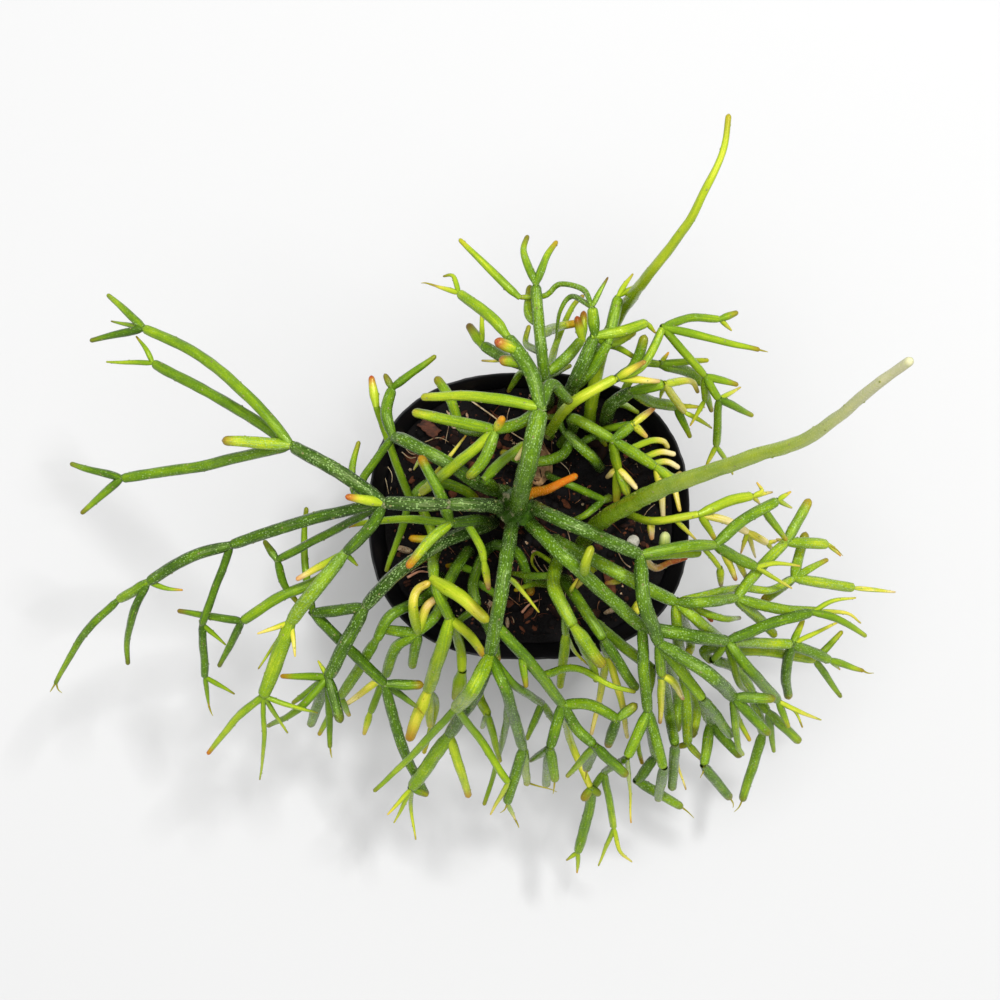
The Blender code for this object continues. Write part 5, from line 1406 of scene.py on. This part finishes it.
def stem_rings(stem, length, has_children):
    """Places along a fine stem where it has a ring of points, and the length of its rounded end."""
    cap = min(stem.radius * (0.8 if has_children else 1.3 * END_SHARE[stem.kind]), length * 0.3)
    body = np.arange(0, length - cap, RING_STEP)
    dome = length - cap + cap * np.sin(np.linspace(0, 1, 6)[:-1] * math.pi / 2)
    return np.concatenate([body, dome[dome > body[-1] + RING_STEP * 0.3]]), cap


def stem_radii(stem, places, length, cap, has_children):
    """Radius along a fine stem: a narrow joint, a full middle, and a blunt or pointed end."""
    share = places / length
    neck = 1 if stem.parent is None else 0.74 + 0.26 * smooth_step(places / (stem.radius * 2.4))
    swell = 1 + 0.05 * np.sin(math.pi * share)
    if not has_children:
        swell = swell * (1 - (1 - END_SHARE[stem.kind]) * np.clip((share - 0.3) / 0.7, 0, 1) ** 1.2)
    elif not stem.tapers:
        swell = swell * (1 - 0.10 * smooth_step(1 - (length - places) / (stem.radius * 3)))
    beyond = np.clip(places - (length - cap), 0, cap) / cap
    return stem.radius * 1.03 * neck * swell * np.sqrt(np.clip(1 - beyond**2, 0.02, 1))


def add_stem(skin, stem, has_children):
    """One fine stem: its tube, its colours and its areoles."""
    dense, run = even_path(stem)
    length = run[-1]
    places, cap = stem_rings(stem, length, has_children)
    radii = stem_radii(stem, places, length, cap, has_children)
    sides = 8 if stem.radius < 0.0008 else (12 if stem.radius < 0.0013 else 18)
    spine = np.array([np.interp(places, run, dense[:, axis]) for axis in range(3)]).T
    dice = random.Random(stem.name + stem.spray)
    seed = Vector((dice.random() * 9, 7, 3))
    tangents, firsts, seconds = frames_along(spine)
    sway = np.array([noise.noise_vector(Vector(point) * 120 + seed) for point in spine]) * 0.00022
    spine = spine + sway * smooth_step(places / 0.006)[:, None]
    radii = radii * (1 + np.array([0.06 * noise.noise(Vector(point) * 300 + seed) for point in spine]))
    sunk = 0.0 if stem.parent is None else min(stem.parent.radius * 0.6, 0.0011)
    base = spine[0] - tangents[0] * sunk if stem.parent else spine[0] - np.array([0, 0, SUNK])
    spine = np.vstack([base, spine])
    radii = np.concatenate([[radii[0] * 0.9], radii])
    firsts, seconds = np.vstack([firsts[:1], firsts]), np.vstack([seconds[:1], seconds])
    along = np.concatenate([[-sunk], places])
    turns = ring_turns(sides)
    ridges = 1 + 0.030 * np.sin(5 * turns[None, :] + along[:, None] * 200 + dice.uniform(0, 6))
    spokes = ring_spokes(firsts, seconds, turns)
    rings = spine[:, None, :] + spokes * (radii[:, None] * ridges)[:, :, None]
    points = list(rings.reshape(-1, 3)) + [spine[-1] + tangents[-1] * radii[-1] * 0.6]
    faces, uvs = tube_faces(len(spine), sides, along + dice.uniform(0, 1), stem.radius)
    look = stem_look(stem, has_children)
    skin.add(points, faces, uvs, **stem_marks(stem, look, along, length, spokes, has_children))
    lines = (spine[1:], radii[1:], firsts[1:], seconds[1:], tangents)
    add_areoles(skin, places, lines, length, dice, look[0])


def flush_reach(stem, length, flush):
    """How far down from its tip a stem is flushed."""
    if flush > 1:
        return length
    if stem.kind == WHIP:
        return length * WHIP_FLUSH_SHARE
    return stem.radius * FLUSH_RADII.get(stem.kind, OTHER_FLUSH_RADII)


def stem_marks(stem, look, along, length, spokes, has_children):
    """The point values of one fine stem's tube: its rings' corners and, last, the point at its end."""
    age_start, age_end, fleck, flush, hue = look
    from_end = length - along
    least = max(flush - 1, 0)
    tip = smooth_step(1 - from_end / flush_reach(stem, length, flush)) ** 0.8
    joint = 1 - smooth_step(along / (stem.radius * 0.8))
    if has_children:
        joint = np.maximum(joint, 1 - smooth_step(from_end / (stem.radius * 0.8)))
    rows = {
        "fleck": np.full(len(along), fleck),
        "flush": least + (min(flush, 1.0) - least) * tip,
        "warm": np.full(len(along), hue),
        "cork": joint * (0.12 + 0.40 * age_start) if stem.parent else joint * 0,
    }
    marks = {key: list(np.repeat(row, spokes.shape[1])) + [row[-1]] for key, row in rows.items()}
    age = age_start + (age_end - age_start) * smooth_step(along / length)
    # Painted light and shade: the age is lowered on the upper side of each ring and raised on its underside,
    # so the top is painted paler and the underside darker
    marks["age"] = list((age[:, None] - PAINTED_LIGHT_FROM_ABOVE * spokes[:, :, 2]).ravel()) + [age[-1]]
    return marks


def tube_faces(count, sides, along, radius):
    """Faces and skin coordinates of a tube of rings with one point at its end."""
    faces, uvs = [], []
    step = 2 * math.pi * radius / sides
    for ring in range(count - 1):
        low, high = along[ring], along[ring + 1]
        for side in range(sides):
            first, second = ring * sides + side, ring * sides + (side + 1) % sides
            faces.append((first, second, second + sides, first + sides))
            left, right = side * step, (side + 1) * step
            uvs += [(low, left), (low, right), (high, right), (high, left)]
    peak = count * sides
    for side in range(sides):
        faces.append(((count - 1) * sides + side, (count - 1) * sides + (side + 1) % sides, peak))
        uvs += [(along[-1], side * step), (along[-1], (side + 1) * step), (along[-1] + step, side * step)]
    return faces, uvs


def add_areoles(skin, places, lines, length, dice, age):
    """Small raised scales in a spiral up the stem."""
    spine, radii, firsts, seconds, tangents = lines
    spot, turn = dice.uniform(0.002, 0.004), dice.uniform(0, 6)
    while spot < length - 0.0012:
        index = min(int(np.searchsorted(places, spot)), len(places) - 1)
        out = firsts[index] * math.cos(turn) + seconds[index] * math.sin(turn)
        beside = np.cross(tangents[index], out)
        size = 0.00017 + radii[index] * 0.07
        middle = spine[index] + out * radii[index] * 0.97
        points = []
        for height, reach in ((0.0, 1.0), (0.55, 0.7)):
            for side in range(6):
                angle = math.pi / 3 * side
                flat = tangents[index] * math.cos(angle) * 1.35 + beside * math.sin(angle)
                points.append(middle + flat * size * reach + out * size * height)
        points.append(middle + out * size * 0.75 + tangents[index] * size * 0.5)
        faces = []
        for side in range(6):
            after = (side + 1) % 6
            faces.append((side, after, after + 6, side + 6))
            faces.append((side + 6, after + 6, 12))
        uvs = [(spot, turn * 0.001)] * (6 * 7)
        skin.add(points, faces, uvs, age=age, areole=0.60)
        spot += dice.uniform(0.0038, 0.0062)
        turn += 2.4


def spray_piece(name, stems, material):
    """The fine stems of one spray, which stand in for its solid."""
    parents = {stem.parent.name for stem in stems if stem.parent}
    skin = Skin()
    for stem in stems:
        add_stem(skin, stem, stem.name in parents)
    add_whiskers(skin, stems)
    made = mesh_object(name + "_stems", skin.points, skin.faces, material, True, skin.marks, skin.uvs)
    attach(made, "root")
    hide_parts(name)


def add_whiskers(skin, stems):
    """Thread-like dry ends: each runs from a stem's tip over columns and rows of the photograph."""
    tips = {stem.name: stem for stem in stems}
    for (spray, name), spots in WHISKERS:
        if not stems or spray != stems[0].spray:
            continue
        stem = tips[name]
        height = stem.points[-1][2] - 0.0006
        line = [stem.at(len(stem.points) - 1.04)] + [(*spot, height) for spot in spots]
        line = np.array([placed(*point) for point in line])
        spine = curve_weights(len(line), np.linspace(0, len(line) - 1, 7 * (len(line) - 1) + 1)) @ line
        _, firsts, seconds = frames_along(spine)
        sides = 5
        radii = np.linspace(WHISKER / 2, WHISKER / 8, len(spine))
        spokes = ring_spokes(firsts, seconds, ring_turns(sides))
        points = list((spine[:, None, :] + spokes * radii[:, None, None]).reshape(-1, 3)) + [spine[-1]]
        along = np.linspace(0, 0.004, len(spine))
        faces, uvs = tube_faces(len(spine), sides, along, WHISKER / 2)
        skin.add(points, faces, uvs, age=0.30, flush=0.55, warm=0.9)


def knot_piece(material):
    """The swollen, partly corky knot where the main limbs meet."""
    middle = Vector(placed(KNOT[0], KNOT[1], KNOT[2] / 1000))
    shape, faces = lump_shape(5)
    points, corks = [], []
    for corner in shape:
        lumps = 0.16 * noise.noise(corner * 1.9 + Vector((4, 1, 2))) + 0.05 * noise.noise(corner * 6)
        spot = corner * (1 + lumps)
        points.append(middle + Vector([part * half for part, half in zip(spot, KNOT_REACH)]))
        corks.append(0.24 + 0.6 * noise.noise(corner * 2.4) - 0.25 * corner.x)
    marks = {"age": [0.88] * len(points), "fleck": [0.7] * len(points), "cork": corks}
    made = mesh_object("crown_knot", points, faces, material, True, marks)
    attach(made, "root")


def pot_piece(material):
    """The pot's shell: outer face, step under the lip, roughly cut lip, inner face, floor and drain holes."""
    sides = 160
    profile = [
        (0.0, 0.0012), (0.0004, 0.0004), (0.0012, 0.0), (0.0060, 0.0), (0.0200, 0.0), (0.0400, 0.0),
        (0.0600, 0.0), (POT_HEIGHT - 0.0095, 0.0), (POT_HEIGHT - 0.0090, -0.0003),
        (POT_HEIGHT - LIP_HEIGHT, -0.0003), (POT_HEIGHT - LIP_HEIGHT * 0.85, -LIP_REACH),
        (POT_HEIGHT - 0.0006, -LIP_REACH), (POT_HEIGHT - 0.0001, -LIP_REACH + 0.0002),
        (POT_HEIGHT, -LIP_REACH + 0.0005), (POT_HEIGHT - 0.0002, -LIP_REACH + 0.0008),
        (POT_HEIGHT - 0.0016, -LIP_REACH + 0.0011), (POT_HEIGHT - 0.0040, WALL * 0.6),
        (POT_HEIGHT - 0.0080, WALL), (0.0400, WALL), (0.0050, WALL + 0.0002), (FLOOR, WALL + 0.0004),
    ]
    points = []
    for z, inset in profile:
        for side in range(sides):
            turn = 2 * math.pi * side / sides
            spot = pot_outline(z, inset, turn)
            if z > POT_HEIGHT - LIP_HEIGHT:
                rough = noise.noise(Vector((math.cos(turn), math.sin(turn), 0.3)) * 9)
                fine = noise.noise(Vector((math.cos(turn), math.sin(turn), 1.7)) * 40)
                spot.z += min(0.0006 * rough + 0.00035 * fine, 0.0004)
                spot += Vector((math.cos(turn), math.sin(turn), 0)) * 0.00018 * fine
            points.append(spot)
    faces = band_faces(len(profile) - 1, sides)
    last = (len(profile) - 1) * sides
    faces.append(tuple(reversed(range(sides))))
    faces.append(tuple(range(last, last + sides)))
    made = mesh_object("pot_shell", points, faces, material)
    made.data.set_sharp_from_angle(angle=math.radians(50))
    mesh = bmesh.new()
    for index in range(HOLE_COUNT):
        turn = 2 * math.pi * (index + 0.5) / HOLE_COUNT
        middle = pot_outline(0, 0, turn) * HOLE_RING
        move = Matrix.Translation(middle)
        bmesh.ops.create_cone(mesh, cap_ends=True, segments=28, radius1=HOLE_RADIUS, radius2=HOLE_RADIUS,
                              depth=0.02, matrix=move)
    data = bpy.data.meshes.new("drain_cutters")
    mesh.to_mesh(data)
    mesh.free()
    cutter = bpy.data.objects.new("drain_cutters", data)
    bpy.context.scene.collection.objects.link(cutter)
    cut = made.modifiers.new("Drain", "BOOLEAN")
    cut.operation = "DIFFERENCE"
    cut.solver = "EXACT"
    cut.object = cutter
    graph = bpy.context.evaluated_depsgraph_get()
    carved = bpy.data.meshes.new_from_object(made.evaluated_get(graph))
    made.modifiers.clear()
    made.data = carved
    bpy.data.objects.remove(cutter)
    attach(made, "root")
    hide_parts("pot")


def soil_surface(x, y):
    """The soil's top with its crumbly grain."""
    spot = Vector((x, y, 0.0))
    coarse = noise.fractal(spot * 260, 0.9, 2.0, 3)
    fine = noise.noise(spot * 1100 + Vector((3, 1, 5)))
    return soil_height(x, y) + 0.00055 * coarse + 0.00022 * fine


def soil_spot(dice):
    """A place on the soil, by chance."""
    turn, share = dice.uniform(0, 2 * math.pi), math.sqrt(dice.uniform(0, 0.97))
    edge = pot_outline(POT_HEIGHT - SOIL_BELOW_RIM, WALL + GAP + 0.001, turn)
    return edge.x * share, edge.y * share


def lump_shape(fineness):
    """Points and faces of a ball of one unit."""
    lump = bmesh.new()
    bmesh.ops.create_icosphere(lump, subdivisions=fineness, radius=1.0)
    shape = [vert.co.copy() for vert in lump.verts]
    faces = [tuple(vert.index for vert in face.verts) for face in lump.faces]
    lump.free()
    return shape, faces


def soil_body():
    """Points, tones and faces of the soil with its crumbly top."""
    sides, rings = 150, 64
    low = FLOOR + GAP
    turns = [2 * math.pi * side / sides for side in range(sides)]
    top_z = POT_HEIGHT - SOIL_BELOW_RIM
    points, tones = [], []
    for z, inset in ((low, WALL + 0.0005 + GAP), (POT_HEIGHT * 0.5, WALL + GAP), (top_z - 0.003, WALL + GAP)):
        for turn in turns:
            points.append(pot_outline(z, inset, turn))
            tones.append(0.12)
    for ring in range(rings):
        share = 1 - ring / rings
        for turn in turns:
            edge = pot_outline(top_z, WALL + GAP, turn)
            x, y = edge.x * share, edge.y * share
            points.append(Vector((x, y, soil_surface(x, y))))
            tones.append(0.14 + 0.22 * noise.noise(Vector((x, y, 0.1)) * 260))
    faces = band_faces(rings + 2, sides)
    faces.append(tuple(reversed(range(sides))))
    last = (rings + 2) * sides
    points.append(Vector((0, 0, soil_surface(0, 0))))
    tones.append(0.16)
    for side in range(sides):
        faces.append((last + side, last + (side + 1) % sides, len(points) - 1))
    return points, tones, faces


def add_crumbs(points, tones, faces, dice):
    """Loose crumbs and chips pressed into the soil's top."""
    for count, fineness, least, most in ((CRUMBS, 2, 0.0004, 0.0012), (GRAINS, 1, 0.00016, 0.0004)):
        shape, shape_faces = lump_shape(fineness)
        for _ in range(count):
            x, y = soil_spot(dice)
            size = least + most * dice.random() ** 3
            flat, long = dice.uniform(0.35, 1.0), dice.choice((1.0, 1.0, 1.4, 2.6))
            spin = Matrix.Rotation(dice.uniform(0, 6.3), 3, "Z")
            spin = spin @ Matrix.Rotation(dice.uniform(-0.6, 0.6), 3, "X")
            middle = Vector((x, y, soil_surface(x, y) + size * flat * 0.35))
            tone = dice.choice((0.05, 0.12, 0.2, 0.3, 0.42, 0.55, 0.7)) if dice.random() > 0.05 else 0.95
            base = len(points)
            seed = Vector((dice.random() * 9, dice.random() * 9, dice.random() * 9))
            for corner in shape:
                lumpy = corner * (1 + 0.4 * noise.noise(corner * 1.7 + seed))
                points.append(middle + spin @ (Vector((lumpy.x * long, lumpy.y, lumpy.z * flat)) * size))
                tones.append(tone)
            faces += [tuple(base + corner for corner in face) for face in shape_faces]


def add_fibres(points, tones, faces, dice):
    """Short loose fibres on the soil, each bent and heading roughly to the middle."""
    steps, sides = 5, 4
    for _ in range(FIBRES):
        x, y = soil_spot(dice)
        turn, bend = math.atan2(-y, -x) + dice.uniform(-1.3, 1.3), dice.uniform(-1.0, 1.0)
        length, thick = dice.uniform(0.002, 0.008), dice.uniform(0.00006, 0.00016)
        base, tone = len(points), dice.choice((0.3, 0.5, 0.7, 0.85, 0.95))
        for step in range(steps + 1):
            heading = turn + bend * step / steps
            x, y = x + math.cos(heading) * length / steps, y + math.sin(heading) * length / steps
            lift = thick + 0.0007 * math.sin(math.pi * step / steps)
            for side in range(sides):
                spoke = math.pi / 2 * side
                flat = Vector((-math.sin(heading), math.cos(heading), 0)) * math.cos(spoke) * thick
                points.append(Vector((x, y, soil_surface(x, y) + lift + math.sin(spoke) * thick)) + flat)
                tones.append(tone)
        faces += band_faces(steps, sides, base)


def soil_piece(material):
    """The soil with its loose crumbs, chips and fibres."""
    points, tones, faces = soil_body()
    dice = random.Random(SOIL_SEED)
    add_crumbs(points, tones, faces, dice)
    add_fibres(points, tones, faces, dice)
    made = mesh_object("soil_top", points, faces, material, True, {"tone": tones})
    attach(made, "root")
    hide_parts("soil")


def thread(name, spots, thick, material):
    """A thin root or straw over the soil, through columns, rows and heights over the soil in millimetres."""
    points = [Vector(placed(column, row, -SOIL_BELOW_RIM)) for column, row, _ in spots]
    for point, (_, _, rise) in zip(points, spots):
        point.z = soil_height(point.x, point.y) + rise / 1000 + thick
    line = np.array(points)
    spine = curve_weights(len(line), np.linspace(0, len(line) - 1, 8 * (len(line) - 1) + 1)) @ line
    _, firsts, seconds = frames_along(spine)
    sides = 6
    radii = thick / 2 * np.linspace(1, THREAD_END, len(spine))
    spokes = ring_spokes(firsts, seconds, ring_turns(sides))
    rings = (spine[:, None, :] + spokes * radii[:, None, None]).reshape(-1, 3)
    faces = band_faces(len(spine) - 1, sides)
    faces.append(tuple(reversed(range(sides))))
    faces.append(tuple(range((len(spine) - 1) * sides, len(spine) * sides)))
    made = mesh_object(name, list(rings), faces, material)
    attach(made, "root")


def pebble_piece(material):
    """The pale pebble, rounded from its solid's box."""
    low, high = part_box("pebble")
    middle, half = (low + high) / 2, (high - low) / 2
    shape, faces = lump_shape(4)
    points = []
    for corner in shape:
        bent = corner * (1 + 0.10 * noise.noise(corner * 1.6) + 0.03 * noise.noise(corner * 6))
        points.append(middle + Vector((bent.x * half.x, bent.y * half.y, bent.z * half.z)) * 0.97)
    made = mesh_object("pebble_stone", points, faces, material)
    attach(made, "root")
    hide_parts("pebble")


def bark_piece(material):
    """The flat split piece of bark, with a ragged edge and a fibrous top."""
    low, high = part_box("bark_chip")
    middle = (low + high) / 2
    turn = BARK_TURN
    columns, rows = 44, 26
    points, faces = [], []
    for level in (0, 1):
        for row in range(rows + 1):
            for column in range(columns + 1):
                x, y = column / columns * 2 - 1, row / rows * 2 - 1
                edge = 1 - 0.22 * noise.noise(Vector((x * 2.2, y * 2.2, 4)))
                fibre = noise.noise(Vector((x * 1.4, y * 9, 2)))
                rim = max(abs(x), abs(y)) ** 6
                along, across = x * edge * BARK_SIZE[0] / 2, y * edge * BARK_SIZE[1] / 2
                rise = (1 if level else -1) * (1 - 0.55 * rim) * BARK_SIZE[2] / 2 + 0.0002 * fibre * level
                spot = Vector((along * math.cos(turn) - across * math.sin(turn),
                               along * math.sin(turn) + across * math.cos(turn), rise))
                points.append(middle + spot)
    layer = (columns + 1) * (rows + 1)
    for row in range(rows):
        for column in range(columns):
            first = row * (columns + 1) + column
            square = (first, first + 1, first + columns + 2, first + columns + 1)
            faces.append(tuple(layer + corner for corner in square))
            faces.append(tuple(reversed(square)))
    rim = list(range(columns + 1)) + [(row + 1) * (columns + 1) - 1 for row in range(1, rows + 1)]
    rim += [rows * (columns + 1) + column for column in range(columns - 1, -1, -1)]
    rim += [row * (columns + 1) for row in range(rows - 1, 0, -1)]
    for first, second in zip(rim, rim[1:] + rim[:1]):
        faces.append((first, second, layer + second, layer + first))
    made = mesh_object("bark_piece", points, faces, material)
    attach(made, "root")
    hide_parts("bark_chip")


def leaf_piece(material):
    """The dry leaf: a thin sheet, curled lengthwise and crumpled, lying on the soil."""
    line = np.array([placed(column, row, -SOIL_BELOW_RIM) for column, row in LEAF])
    spine = curve_weights(len(line), np.linspace(0, len(line) - 1, 40)) @ line
    tangents, _, _ = frames_along(spine)
    across = 20
    points, faces = [], []
    for index, (spot, heading) in enumerate(zip(spine, tangents)):
        share = index / (len(spine) - 1)
        width = LEAF_WIDTH * (0.25 + 0.75 * math.sin(math.pi * (0.08 + 0.84 * share)))
        beside = Vector((-heading[1], heading[0], 0)).normalized()
        for step in range(across + 1):
            turn = (step / across - 0.5) * LEAF_CURL
            crumple = 1 + 0.22 * noise.noise(Vector((share * 5, step * 0.3, 6)))
            radius = width / LEAF_CURL * 2 * crumple
            point = Vector(spot) + beside * math.sin(turn) * radius
            point.z = soil_surface(point.x, point.y) + 0.0003 + (1 - math.cos(turn)) * radius
            points.append(point)
    for index in range(len(spine) - 1):
        for step in range(across):
            first = index * (across + 1) + step
            faces.append((first, first + 1, first + across + 2, first + across + 1))
    made = mesh_object("leaf_piece", points, faces, material)
    thick = made.modifiers.new("Thickness", "SOLIDIFY")
    thick.thickness = 0.00018
    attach(made, "root")
    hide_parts("dry_leaf")


def stage_and_light():
    """Pale floor, soft light and the camera straight above the pot."""
    paint = Paint("floor_pale").finish(Base_Color=linear(FLOOR_GREY, FLOOR_GREY, FLOOR_GREY), Roughness=0.9)
    far = FLOOR_REACH
    corners = [(-far, -far, 0), (far, -far, 0), (far, far, 0), (-far, far, 0)]
    floor = mesh_object("floor", corners, [(0, 1, 2, 3)], paint, False)
    world = bpy.data.worlds.new("studio")
    bpy.context.scene.world = world
    world.use_nodes = True
    backdrop = world.node_tree.nodes["Background"]
    backdrop.inputs["Color"].default_value = (1, 1, 1, 1)
    backdrop.inputs["Strength"].default_value = SKY_STRENGTH
    for name, place, size, power in LAMPS:
        lamp = bpy.data.lights.new(name, "AREA")
        lamp.shape = "DISK"
        lamp.size = size
        lamp.energy = power
        holder = bpy.data.objects.new(name, lamp)
        bpy.context.scene.collection.objects.link(holder)
        holder.location = place
        aim = Vector(LAMP_AIM) - Vector(place)
        holder.rotation_euler = aim.to_track_quat("-Z", "Y").to_euler()
    view = bpy.data.cameras.new("camera")
    view.sensor_width = SENSOR
    view.lens = SENSOR * EYE_HEIGHT / (RIM_WIDTH / RIM_PIXELS * 2 * PHOTO_MIDDLE)
    camera = bpy.data.objects.new("camera", view)
    bpy.context.scene.collection.objects.link(camera)
    camera.location = (*eye_spot(), POT_HEIGHT + EYE_HEIGHT)
    bpy.context.scene.camera = camera
    bpy.context.scene.view_settings.view_transform = "Standard"


def main():
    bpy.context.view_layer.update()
    skin = stem_paint()
    stems = grown()
    settle(stems)
    for spray in SPRAYS:
        spray_piece(spray, [stem for stem in stems if stem.spray == spray], skin)
    pot_piece(pot_paint())
    soil_piece(soil_paint())
    pebble_piece(plain_paint("pebble_stone", linear(150, 146, 132), linear(206, 202, 186), 900, 0.75, 0.0002))
    straw = plain_paint("straw", linear(168, 138, 92), linear(222, 204, 168), 700, 0.7, 0.0001, (1, 1, 0.3))
    root = plain_paint("root", linear(190, 130, 100), linear(214, 160, 128), 700, 0.6, 0.0001)
    thread("straw_long", STRAW, STRAW_THICK, straw)
    for index, spots in enumerate(ROOT_HAIRS):
        thread(f"root_hair_{index}", spots, HAIR_THICK, straw)
    for index, spots in enumerate(SALMON_ROOTS):
        thread(f"salmon_root_{index}", spots, SALMON_THICK, root)
    bark = plain_paint("dry_bark", linear(44, 26, 20), linear(116, 66, 44), 500, 0.85, 0.0004, (1, 2.5, 1))
    bark_piece(bark)
    leaf_piece(plain_paint("dry_leaf", linear(92, 58, 36), linear(196, 156, 106), 420, 0.7, 0.0004))
    knot_piece(skin)
    stage_and_light()


main()
